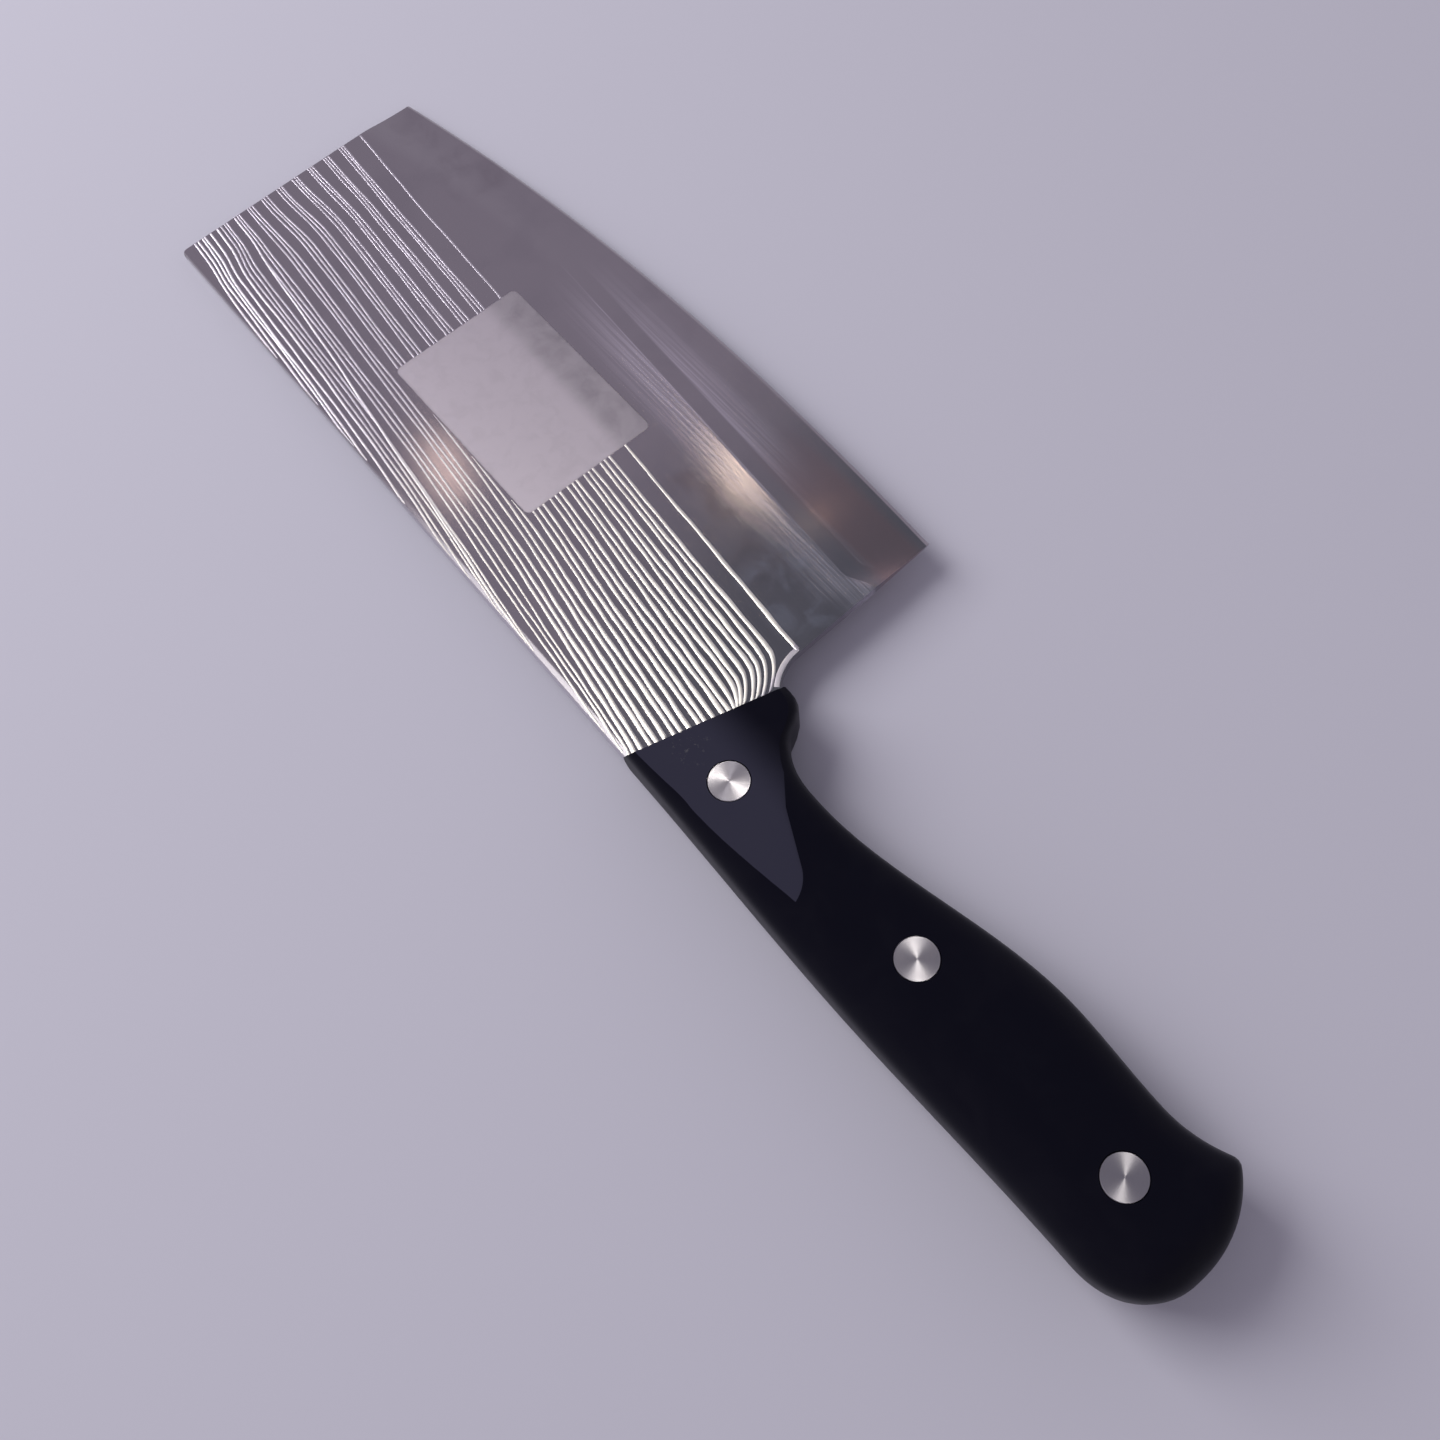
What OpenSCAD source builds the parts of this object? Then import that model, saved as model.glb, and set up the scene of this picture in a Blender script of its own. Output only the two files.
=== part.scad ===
// Kitchen cleaver: one steel blade with a hidden tang, two handle scales and three cutler's rivets.
// It is drawn with x from the tip to the butt, y from the spine to the cutting edge and z through its
// thickness, and is then set down flat, centred over the origin.

/* [Blade] */
// Length of the spine, from the tip to the front of the handle
blade_len = 166.6; // [150:0.1:200]
// Depth of the blade from the spine to the deepest point of the cutting edge
blade_w = 76.6; // [64:0.1:95]
// Rise of the cutting edge from its deepest point to the tip
tip_rise = 11.7; // [3:0.1:20]
// Rise of the cutting edge from its deepest point to the heel
heel_rise = 1.3; // [0.4:0.1:6]
// Distance from the tip to the deepest point of the cutting edge
deepest_x = 120; // [100:1:130]
// Thickness of the steel
blade_t = 2.2; // [1.6:0.1:4]
// Lean of the tip's edge away from square, in degrees
tip_lean = 1.15; // [0:0.05:6]
// Radius of the corner between spine and tip
tip_corner_r = 1.2; // [0.4:0.1:8]
// Width of the chamfer that eases the spine
spine_ease = 0.3; // [0.1:0.05:0.6]

/* [Grind] */
// Width of the hollow-ground band behind the cutting edge
grind_w = 17.5; // [8:0.5:24]
// Radius of the wheel that ground it
wheel_r = 200; // [140:5:400]
// Thickness of the steel where the grind meets the edge bevel
shoulder_t = 0.44; // [0.3:0.02:0.8]
// Width of the edge bevel
bevel_w = 0.7; // [0.3:0.05:1.5]
// Thickness left at the very edge
edge_t = 0.06; // [0.04:0.01:0.2]

/* [Heel] */
// How far the heel corner lies behind the end of the spine
heel_reach = 3.9; // [2:0.1:7]
// Lean of the heel's edge away from square, in degrees
heel_lean = 2.2; // [0:0.1:3]
// Depth at which the heel's edge turns into the hollow in front of the handle
choil_y = 40; // [36:0.5:44]
// Radius of that hollow
choil_r = 11; // [9.5:0.5:14]

/* [Tang] */
// Width of the tang
tang_w = 13; // [10:0.5:15]
// How far each side of the tang is ground below the side of the blade
tang_relief = 0.1; // [0.05:0.05:0.3]
// Steel left behind the last rivet
tang_tail = 8; // [5:0.5:11]

/* [Handle outline] */
// Length of the handle along the spine
handle_len = 133.4; // [110:0.1:160]
// Lean of the handle's front face away from square, in degrees
front_lean = 15.6; // [10:0.1:18]
// Slope of the front face back from the side of the blade, in degrees
front_rake = 22; // [0:1:30]
// Depth of the handle at the finger guard
guard_w = 32.1; // [29:0.1:37]
// Distance from the front to the steepest point of the guard
guard_x = 18; // [16.5:0.1:20]
// Depth of the handle at the neck
neck_w = 21.7; // [20:0.1:25]
// Distance from the front to the neck
neck_x = 32.9; // [30:0.1:41]
// Depth of the handle at the swell
swell_w = 30.6; // [26:0.1:34]
// Distance from the swell to the end of the butt
swell_back = 44.5; // [38:0.1:52]
// Depth of the handle at the waist before the hook
waist_w = 29.6; // [26:0.1:32]
// Distance from the waist to the end of the butt
waist_back = 22.5; // [18:0.1:28]
// Rise of the hook's curve from the waist to the end of the handle
hook_rise = 10.3; // [6:0.1:14]
// Rounding of the hook's point
hook_round = 1.6; // [0.5:0.1:3]
// Radius of the butt
butt_r = 23.5; // [20:0.1:30]
// Depth of the furthest point of the butt
butt_y = 14.6; // [12:0.1:18]
// Length of the round corner between spine and butt
butt_corner = 15; // [8:0.5:18]
// Bow of the handle's spine beyond the blade's
spine_bow = 0.8; // [0:0.1:2]
// Drop of the handle's spine where the round corner starts
spine_drop = 0.8; // [0:0.1:3]

/* [Handle section] */
// Thickness of the handle at its front
front_t = 16.2; // [15:0.1:20]
// Thickness of the handle at the neck
neck_t = 16; // [15:0.1:20]
// Thickness of the handle at the swell
swell_t = 18.6; // [17:0.1:24]
// Thickness of the handle at the butt
butt_t = 18.2; // [16:0.1:24]
// Length over which the thickness rounds off at the butt
butt_round = 8; // [4:0.5:12]
// Squareness of the section at the front: 2 is an ellipse, more is squarer
front_power = 5; // [3:0.1:6]
// Squareness of the section at the neck
neck_power = 4; // [2.8:0.1:5]
// Squareness of the section from the swell to the butt
grip_power = 3.2; // [2.4:0.1:4]

/* [Facet] */
// Thickness between the two flat facets at the front of the handle
facet_t = 13.2; // [12:0.1:14]
// Slope of each facet, in degrees
facet_slope = 1.8; // [1:0.1:2.4]
// Distance from the front to the back of the facet
facet_len = 44.9; // [40:0.1:50]
// Radius of the facet's back end
facet_end_r = 8; // [5:0.1:11]
// Depth of the middle of that end
facet_end_y = 3; // [1:0.1:5]
// Slope of the line that bounds the facet behind its knee, in degrees
facet_line = 26.6; // [22:0.1:36]
// Distance from the front to the knee of that line
facet_knee_x = 29.9; // [27:0.1:33]
// Slope of the line between the knee and the guard, in degrees
facet_rise = 37.5; // [32:0.1:45]
// Distance from the front to the point where it runs off round the guard
facet_guard_x = 20; // [18:0.1:24]

/* [Rivets] */
// Diameter of the rivet heads
head_d = 8.3; // [6:0.1:10]
// Thickness of the rivet heads
head_t = 1.8; // [1.2:0.1:3]
// Chamfer round each head
head_chamfer = 0.2; // [0.1:0.05:0.5]
// Diameter of the hollow barrels
barrel_d = 5; // [4.4:0.1:5.6]
// Diameter of the stems inside the barrels
stem_d = 3.2; // [2:0.1:3.6]
// Distance from the front to the first rivet
rivet_front_x = 19; // [16:0.1:22]
// Depth of the first rivet below the spine
rivet_front_y = 11; // [9:0.1:13]
// Place of the middle rivet, as a share of the way from the first to the last
rivet_middle_share = 0.496; // [0.4:0.002:0.6]
// Depth of the middle rivet below the spine
rivet_middle_y = 14.3; // [12:0.1:16]
// Distance from the last rivet to the end of the butt
rivet_rear_back = 19.4; // [17:0.1:26]
// Depth of the last rivet below the spine
rivet_rear_y = 15.3; // [13:0.1:18]

/* [Fit] */
// Gap between the blade's shoulder and the handle's front
seat_gap = 0.05; // [0.02:0.01:0.1]
// Gap round the tang in its pocket
tang_gap = 0.05; // [0.02:0.01:0.3]
// Radial gap between barrel and scale, and round each head
rivet_gap = 0.04; // [0.02:0.01:0.1]
// Radial gap between barrel and tang
tang_hole_gap = 0.1; // [0.05:0.01:0.3]
// Radial gap between stem and barrel
stem_gap = 0.03; // [0.02:0.01:0.06]
// Gap between the end of a barrel or stem and what it stops short of
end_gap = 0.4; // [0.2:0.05:1]

/* [Resolution] */
// Facets of the blade's long arcs
arc_fn = 720; // [360:90:1440]
// Facets of the bores and rivets
bore_fn = 64; // [32:8:128]
// Length of one step along the handle
station_step = 2.2; // [1.6:0.1:4]
// Steps round half a section
section_steps = 20; // [12:2:24]
// Steps along the round corner of the butt
butt_steps = 12; // [8:1:16]

/* [Hidden] */

// One overrun serves all cuts.
overrun = 1;
overall_len = blade_len + handle_len;
tip_w = blade_w - tip_rise;
heel_w = blade_w - heel_rise;
tip_reach = tip_w * tan(tip_lean);
handle_t = max(front_t, neck_t, swell_t, butt_t);

// The cutting edge is two arcs that share their tangent at the deepest point.
tip_run = deepest_x + tip_reach;
front_arc_r = (tip_run * tip_run + tip_rise * tip_rise) / (2 * tip_rise);
heel_x = blade_len + heel_reach;
heel_run = heel_x - deepest_x;
rear_arc_r = (heel_run * heel_run + heel_rise * heel_rise) / (2 * heel_rise);
front_arc_sweep = asin((tip_run + grind_w) / front_arc_r);
rear_arc_sweep = asin((heel_run + grind_w) / rear_arc_r);
arc_overrun = 1;

// The heel's edge leans back towards the hollow in front of the handle.
choil_x = heel_x + (heel_w - choil_y) * tan(heel_lean);

// The wheel's circle passes through the start of the grind and the shoulder of the bevel.
grind_run = grind_w - bevel_w;
grind_fall = (blade_t - shoulder_t) / 2;
grind_chord = norm([grind_run, grind_fall]);
wheel_lift = sqrt(wheel_r * wheel_r - grind_chord * grind_chord / 4);
wheel_in = bevel_w + grind_run / 2 - wheel_lift * grind_fall / grind_chord;
wheel_up = (blade_t + shoulder_t) / 4 + wheel_lift * grind_run / grind_chord;

// The tang is a strap along the line from the first rivet to the last.
rivet_rear_x = handle_len - rivet_rear_back;
rivet_middle_x = rivet_front_x + (rivet_rear_x - rivet_front_x) * rivet_middle_share;
rivets = [
    [blade_len + rivet_front_x, rivet_front_y],
    [blade_len + rivet_middle_x, rivet_middle_y],
    [blade_len + rivet_rear_x, rivet_rear_y]
];
tang_span = rivets[2] - rivets[0];
tang_angle = atan2(tang_span[1], tang_span[0]);
tang_t = blade_t - 2 * tang_relief;
tang_root_share = 1.5;
tang_root = rivet_front_x * tang_root_share;

// Each knot of a curve holds a place along the handle, a height there and the slope there.
guard_nose_share = 0.54;
guard_nose_slope = -2.2;
guard_foot_share = 0.25;
guard_foot_slope = -0.68;
foot_reach_share = 0.195;
swell_x = handle_len - swell_back;
waist_x = handle_len - waist_back;
guard_top_x = guard_w * tan(front_lean) + hook_round;
guard_drop = guard_w - neck_w;
belly_knots = [
    [0, guard_w, 0],
    [guard_top_x, guard_w, 0],
    [guard_x, neck_w + guard_drop * guard_nose_share, guard_nose_slope],
    [guard_x + (neck_x - guard_x) * foot_reach_share, neck_w + guard_drop * guard_foot_share,
        guard_foot_slope],
    [neck_x, neck_w, 0],
    [swell_x, swell_w, 0],
    [waist_x, waist_w, 0],
    [handle_len, waist_w + hook_rise, 2 * hook_rise / waist_back]
];
spine_knots = [
    [0, 0, 0],
    [(handle_len - butt_corner) / 2, -spine_bow, 0],
    [handle_len - butt_corner, spine_drop, 0]
];
thickness_knots = [
    [0, front_t / 2, 0],
    [neck_x, neck_t / 2, 0],
    [swell_x, swell_t / 2, 0],
    [handle_len - butt_round, butt_t / 2, 0]
];
power_knots = [
    [0, front_power, 0],
    [neck_x, neck_power, 0],
    [swell_x, grip_power, 0]
];
round_power = 2.2;

// The facet ends in an arc that its boundary line touches.
facet_end = [blade_len + facet_len - facet_end_r, facet_end_y];
facet_touch = facet_end + facet_end_r * [sin(facet_line), cos(facet_line)];
facet_back_run = facet_touch[0] - blade_len - facet_knee_x;
facet_knee = facet_touch + facet_back_run * [-1, tan(facet_line)];
facet_turn = facet_knee + (facet_knee_x - facet_guard_x) * [-1, tan(facet_rise)];

// A cubic between two knots, at a share t of the way from one to the other.
function cubic(a, b, t) =
    let (h = b[0] - a[0])
    (2 * t * t * t - 3 * t * t + 1) * a[1]
    + (t * t * t - 2 * t * t + t) * h * a[2]
    + (3 * t * t - 2 * t * t * t) * b[1]
    + (t * t * t - t * t) * h * b[2];

// The knot before x, and the height of the whole curve at x, level past its ends.
function knot_before(k, x, i = 0) = i >= len(k) - 2 || x < k[i + 1][0] ? i : knot_before(k, x, i + 1);
function along(k, x) =
    let (i = knot_before(k, x))
    cubic(k[i], k[i + 1], min(1, max(0, (x - k[i][0]) / (k[i + 1][0] - k[i][0]))));

// A quarter of a rounded square: 1 at its start, 0 at its end.
function quarter(s, power) = pow(max(0, 1 - pow(min(1, max(0, s)), power)), 1 / power);

// The lesser of two heights, with the corner between them rounded.
function soft_min(a, b, r) = min(a, b) - pow(max(0, r - abs(a - b)) / r, 2) * r / 4;

// Outline and half thickness of the handle at a distance x behind its front.
function butt_height(x) =
    butt_y + sqrt(max(0, butt_r * butt_r - pow(max(0, x - handle_len + butt_r), 2)));
function belly_at(x) = soft_min(along(belly_knots, x), butt_height(x), hook_round);
function spine_at(x) =
    let (corner = quarter((x - handle_len + butt_corner) / butt_corner, round_power))
    butt_y - (butt_y - along(spine_knots, x)) * corner;
function half_t_at(x) =
    along(thickness_knots, x) * quarter((x - handle_len + butt_round) / butt_round, round_power);

// Height of the grip's surface over the knife's middle plane, and the facet's.
function crown_at(x, y) =
    let (
        middle = (belly_at(x) + spine_at(x)) / 2,
        half_w = (belly_at(x) - spine_at(x)) / 2
    )
    half_t_at(x) * quarter(abs(y - middle) / half_w, along(power_knots, x));
function facet_at(x) = facet_t / 2 + x * tan(facet_slope);

// Height of the outer face of each rivet head.
head_tops = [
    min(facet_at(rivet_front_x), crown_at(rivet_front_x, rivet_front_y)),
    crown_at(rivet_middle_x, rivet_middle_y),
    crown_at(rivet_rear_x, rivet_rear_y)
];

// One station of the handle: half a section, from the belly over the crown to the spine.
function section(x) =
    let (
        low = spine_at(x),
        high = belly_at(x),
        half_t = half_t_at(x),
        power = along(power_knots, x)
    )
    [for (j = [0:section_steps])
        let (
            a = 180 * j / section_steps,
            across = sign(cos(a)) * pow(abs(cos(a)), 2 / power),
            up = pow(max(0, sin(a)), 2 / power)
        )
        [blade_len + x, (high + low) / 2 + (high - low) / 2 * across, j == section_steps ? 0 : half_t * up]
    ];

straight_len = handle_len - butt_corner;
station_count = ceil((straight_len + overrun) / station_step);
stations = concat(
    [for (i = [0:station_count]) (straight_len + overrun) * i / station_count - overrun],
    [for (k = [1:butt_steps - 1]) straight_len + butt_corner * sin(90 * k / butt_steps)]
);

// The blade as seen from its side, without the tang and with the cutting edge still to be rounded.
module blade_outline() {
    drop = blade_w + overrun;
    front_step = choil_y * tan(front_lean);
    difference() {
        polygon([
            [0, 0],
            [blade_len - seat_gap, 0],
            [blade_len - seat_gap + front_step, choil_y],
            [choil_x, choil_y],
            [heel_x - (drop - heel_w) * tan(heel_lean), drop],
            [-drop * tan(tip_lean), drop]
        ]);
        translate([choil_x + choil_r, choil_y]) circle(r = choil_r, $fn = bore_fn);
        difference() {
            translate([-overrun, -overrun]) square(tip_corner_r + overrun);
            translate([tip_corner_r, tip_corner_r]) circle(r = tip_corner_r, $fn = bore_fn);
        }
    }
}

// Part of a disc whose rim is one arc of the cutting edge, on one side of the deepest point.
module edge_disc(r, from_x, to_x) {
    translate([deepest_x, blade_w]) intersection() {
        translate([0, -r]) circle(r = r, $fn = arc_fn);
        translate([from_x, -blade_w - overrun]) square([to_x - from_x, blade_w + 2 * overrun]);
    }
}

// The strap of the tang, with a gap added all round it.
module tang_outline(gap) {
    reach = norm(tang_span) + tang_tail - tang_w / 2;
    translate(rivets[0]) rotate(tang_angle) {
        translate([-tang_root, -tang_w / 2 - gap]) square([tang_root + reach, tang_w + 2 * gap]);
        translate([reach, 0]) circle(d = tang_w + 2 * gap, $fn = bore_fn);
    }
}

// What the wheel and the edge stone take off one side, seen along the cutting edge.
module grind_profile(r) {
    intersection() {
        translate([r - wheel_in, wheel_up]) circle(r = wheel_r, $fn = arc_fn);
        translate([r - grind_w - overrun, 0]) square([grind_run + overrun, blade_t]);
    }
    polygon([
        [r - bevel_w, shoulder_t / 2],
        [r, edge_t / 2],
        [r + overrun, edge_t / 2],
        [r + overrun, blade_t],
        [r - bevel_w, blade_t]
    ]);
}

// The blade on one side of the deepest point, ground along its own arc of the cutting edge.
module blade_half(r, from_x, to_x, from_angle, sweep) {
    difference() {
        translate([0, 0, -blade_t / 2]) linear_extrude(blade_t) intersection() {
            blade_outline();
            edge_disc(r, from_x, to_x);
        }
        for (side = [0, 1]) mirror([0, 0, side]) translate([deepest_x, blade_w - r, 0]) rotate(from_angle)
            rotate_extrude(angle = sweep, $fn = arc_fn) grind_profile(r);
    }
}

// The chamfer along one edge of the spine.
module spine_chamfer() {
    rotate([90, 0, 90]) translate([0, 0, -overrun]) linear_extrude(blade_len + 2 * overrun)
        polygon([
            [-overrun, blade_t / 2 - spine_ease - overrun],
            [spine_ease + overrun, blade_t / 2 + overrun],
            [-overrun, blade_t / 2 + overrun]
        ]);
}

module blade() {
    hole_r = barrel_d / 2 + tang_hole_gap;
    color("silver") difference() {
        union() {
            blade_half(front_arc_r, -tip_run - blade_w, 0, 90 - arc_overrun, front_arc_sweep + arc_overrun);
            blade_half(rear_arc_r, 0, heel_run + blade_w, 90 - rear_arc_sweep, rear_arc_sweep + arc_overrun);
            translate([0, 0, -tang_t / 2]) linear_extrude(tang_t) tang_outline(0);
        }
        for (side = [0, 1]) mirror([0, 0, side]) spine_chamfer();
        for (p = rivets) translate([p[0], p[1], -blade_t]) cylinder(r = hole_r, h = 2 * blade_t, $fn = bore_fn);
    }
}

// Half of the handle before anything is cut into it: sections lofted from the front to the butt.
module scale_loft() {
    n = section_steps + 1;
    m = len(stations) - 1;
    apex = n * (m + 1);
    polyhedron(
        points = concat([for (x = stations) each section(x)], [[overall_len, butt_y, 0]]),
        faces = concat(
            [[for (j = [0:section_steps]) j]],
            [for (i = [0:m - 1], j = [0:section_steps - 1])
                [i * n + j, (i + 1) * n + j, (i + 1) * n + j + 1]],
            [for (i = [0:m - 1], j = [0:section_steps - 1])
                [i * n + j, (i + 1) * n + j + 1, i * n + j + 1]],
            [for (i = [0:m - 1]) [i * n, i * n + section_steps, (i + 1) * n + section_steps]],
            [for (i = [0:m - 1]) [i * n, (i + 1) * n + section_steps, (i + 1) * n]],
            [for (j = [0:section_steps - 1]) [m * n + j, apex, m * n + j + 1]],
            [[m * n, m * n + section_steps, apex]]
        )
    );
}

// All that lies in front of the handle's front face, which is square to the steel as far as the side
// of the blade and slopes back above it.
module front_cut() {
    translate([blade_len, 0, 0]) rotate(-front_lean) {
        translate([-guard_w, -guard_w, -overrun]) cube([guard_w, 3 * guard_w, handle_t]);
        translate([0, -guard_w, blade_t / 2]) rotate([0, front_rake, 0])
            translate([-guard_w, 0, 0]) cube([guard_w, 3 * guard_w, handle_t]);
    }
}

// All that lies above the plane of the facet.
module above_facet() {
    translate([blade_len, 0, facet_t / 2]) rotate([0, -facet_slope, 0])
        translate([-facet_len, -guard_w, 0]) cube([3 * facet_len, 3 * guard_w, handle_t]);
}

// The facet's outline, from the front of the handle to its rounded back end.
module facet_outline() {
    back = facet_end[0] + facet_end_r;
    polygon([
        [blade_len - facet_len, -facet_end_r],
        [back, -facet_end_r],
        [back, facet_end[1]],
        facet_touch,
        facet_knee,
        facet_turn,
        [facet_turn[0], guard_w + facet_end_r],
        [blade_len - facet_len, guard_w + facet_end_r]
    ]);
    translate(facet_end) circle(r = facet_end_r, $fn = bore_fn);
}

// One scale of the handle, as it lies on the upper side of the tang.
module scale() {
    difference() {
        scale_loft();
        front_cut();
        intersection() {
            above_facet();
            linear_extrude(handle_t) facet_outline();
        }
        translate([0, 0, -overrun]) linear_extrude(tang_t / 2 + tang_gap + overrun) tang_outline(tang_gap);
        for (i = [0:2]) translate([rivets[i][0], rivets[i][1], 0]) {
            translate([0, 0, -overrun]) cylinder(d = barrel_d + 2 * rivet_gap, h = handle_t, $fn = bore_fn);
            translate([0, 0, head_tops[i] - head_t])
                cylinder(d = head_d + 2 * rivet_gap, h = handle_t, $fn = bore_fn);
        }
    }
}

// A rivet head on the upper side. The first one is ground flush with the facet.
module rivet_head(i) {
    seat = head_tops[i] - head_t;
    if (i == 0) {
        difference() {
            translate([rivets[i][0], rivets[i][1], seat]) cylinder(d = head_d, h = 2 * head_t, $fn = bore_fn);
            above_facet();
        }
    } else {
        translate([rivets[i][0], rivets[i][1], seat]) rotate_extrude($fn = bore_fn) polygon([
            [0, 0],
            [head_d / 2, 0],
            [head_d / 2, head_t - head_chamfer],
            [head_d / 2 - head_chamfer, head_t],
            [0, head_t]
        ]);
    }
}

// The half of a rivet that has the solid stem. It is driven in from the right side.
module rivet_male(i) {
    seat = head_tops[i] - head_t;
    stem_end = 2 * end_gap - seat;
    color("gainsboro") {
        rivet_head(i);
        translate([rivets[i][0], rivets[i][1], stem_end]) cylinder(d = stem_d, h = seat - stem_end, $fn = bore_fn);
    }
}

// The half of a rivet that has the hollow barrel.
module rivet_female(i) {
    seat = head_tops[i] - head_t;
    barrel_len = 2 * seat - end_gap;
    color("gainsboro") {
        mirror([0, 0, 1]) rivet_head(i);
        translate([rivets[i][0], rivets[i][1], -seat]) difference() {
            cylinder(d = barrel_d, h = barrel_len, $fn = bore_fn);
            translate([0, 0, end_gap]) cylinder(d = stem_d + 2 * stem_gap, h = barrel_len, $fn = bore_fn);
        }
    }
}

module scale_right() {
    color("#1b1c20") scale();
}

module scale_left() {
    color("#1b1c20") mirror([0, 0, 1]) scale();
}

// Sets the knife down: its box is centred over the origin and its lowest point is at zero.
module laid() {
    translate([(tip_reach - overall_len) / 2, (spine_bow - blade_w) / 2, handle_t / 2]) children();
}

laid() blade();
laid() scale_right();
laid() scale_left();
laid() rivet_male(0);  // rivet_front_male
laid() rivet_female(0);  // rivet_front_female
laid() rivet_male(1);  // rivet_middle_male
laid() rivet_female(1);  // rivet_middle_female
laid() rivet_male(2);  // rivet_rear_male
laid() rivet_female(2);  // rivet_rear_female
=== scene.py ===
"""Looks of the kitchen cleaver: a satin blade with a wavy line pattern, black scales and turned rivets.

Sizes are millimetres in the knife's own frame: x runs from the tip to the butt, y from the spine to the
cutting edge and z through the thickness, with zero in the middle of the steel.
"""
import logging
import math
from contextlib import contextmanager
from dataclasses import dataclass, replace
from enum import Enum
from typing import Callable, Iterator, Sequence

import bmesh
import bpy
from bpy.types import Material, Node, NodeSocket, NodeTree, Object
from mathutils import Matrix, Vector


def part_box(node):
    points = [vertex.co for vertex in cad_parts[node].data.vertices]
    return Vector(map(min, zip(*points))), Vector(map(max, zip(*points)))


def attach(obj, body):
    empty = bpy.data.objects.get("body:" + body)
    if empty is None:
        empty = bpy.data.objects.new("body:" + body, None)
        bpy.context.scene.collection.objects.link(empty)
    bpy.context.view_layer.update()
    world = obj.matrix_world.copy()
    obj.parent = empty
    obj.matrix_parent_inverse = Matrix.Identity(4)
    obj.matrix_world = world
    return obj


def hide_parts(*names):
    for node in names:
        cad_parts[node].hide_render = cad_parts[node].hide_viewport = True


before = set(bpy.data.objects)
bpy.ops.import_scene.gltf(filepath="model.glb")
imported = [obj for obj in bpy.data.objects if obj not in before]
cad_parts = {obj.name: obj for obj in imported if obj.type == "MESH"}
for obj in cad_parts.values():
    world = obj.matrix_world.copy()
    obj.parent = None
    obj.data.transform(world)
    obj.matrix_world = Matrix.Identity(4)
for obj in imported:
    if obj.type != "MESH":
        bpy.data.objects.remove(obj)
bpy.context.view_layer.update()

MM = 0.001
BODY = "root"
LIT_STEEL = "lit_steel"
VALUE = "NodeSocketFloat"
VECTOR = "NodeSocketVector"
QUARTER_TURN = math.radians(90)
# How far a cutter reaches past the middle plane, so that it goes right through.
THROUGH = 5.0
HEAD_SIDES = 96
BORE_SIDES = 48
# Share of a size under which a change is left out.
NO_CHANGE = 1e-4
# Height that a bump of full strength stands for.
BUMP_HEIGHT = 0.02
log = logging.getLogger("cleaver")

Point = tuple[float, float]
Spot = tuple[float, float, float]
Station = tuple[float, float, float]
Light = tuple[float, float, float]
Colour = tuple[float, float, float, float]


class Part(Enum):
    """What an edit works on."""

    POINTS = "VERT"
    EDGES = "EDGE"
    FACES = "FACE"


class Cut(Enum):
    """How a second solid is worked into a first one."""

    REMOVE = "DIFFERENCE"
    ADD = "UNION"


class Slot(Enum):
    """The kinds of material that pieces are dressed in."""

    STEEL = "blade_steel"
    PLASTIC = "handle_plastic"
    RIVET = "rivet_metal"


def smooth_step(start: float, end: float, value: float) -> float:
    """Rises smoothly from 0 at start to 1 at end."""
    share = min(1.0, max(0.0, (value - start) / (end - start)))
    return share * share * (3 - 2 * share)


def soft_min(first: float, second: float, rounding: float) -> float:
    """Gives the lesser of two heights, with the corner between them rounded."""
    near = max(0.0, rounding - abs(first - second)) / rounding
    return min(first, second) - near * near * rounding / 4


def quarter(share: float, power: float) -> float:
    """Gives a quarter of a rounded square: 1 at its start, 0 at its end."""
    inside = 1 - min(1.0, max(0.0, share)) ** power
    return max(0.0, inside) ** (1 / power)


@dataclass(frozen=True)
class Knot:
    """One knot of a curve along the handle."""

    place: float
    height: float
    slope: float = 0.0


def along(knots: Sequence[Knot], place: float) -> float:
    """Gives the height of a smooth curve through knots, level past its ends.

    Args:
        knots: The curve's knots, in order.
        place: Distance along the curve.

    Returns:
        The height there.
    """
    pairs = list(zip(knots, knots[1:]))
    before, after = next((pair for pair in pairs if place < pair[1].place), pairs[-1])
    span = after.place - before.place
    t = min(1.0, max(0.0, (place - before.place) / span))
    return (
        (2 * t**3 - 3 * t**2 + 1) * before.height
        + (t**3 - 2 * t**2 + t) * span * before.slope
        + (3 * t**2 - 2 * t**3) * after.height
        + (t**3 - t**2) * span * after.slope
    )


def pick(piece: Object) -> None:
    """Makes a piece the only one selected.

    Args:
        piece: The piece to work on.
    """
    bpy.ops.object.select_all(action="DESELECT")
    piece.select_set(True)
    bpy.context.view_layer.objects.active = piece


def started(name: str) -> Object:
    """Names the primitive just added and puts its place into its mesh.

    Args:
        name: Name of the new piece.

    Returns:
        The piece.
    """
    piece = bpy.context.object
    piece.name = name
    piece.data.name = name
    pick(piece)
    bpy.ops.object.transform_apply(location=True, rotation=True, scale=True)
    return piece


@contextmanager
def editing(piece: Object, part: Part = Part.POINTS) -> Iterator[None]:
    """Opens a piece in edit mode with all of it selected, and closes it again.

    Args:
        piece: The piece to edit.
        part: What selections are made of.

    Yields:
        Nothing.
    """
    pick(piece)
    bpy.ops.object.mode_set(mode="EDIT")
    bpy.ops.mesh.select_mode(type=part.value)
    bpy.ops.mesh.select_all(action="SELECT")
    yield
    bpy.ops.object.mode_set(mode="OBJECT")


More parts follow.
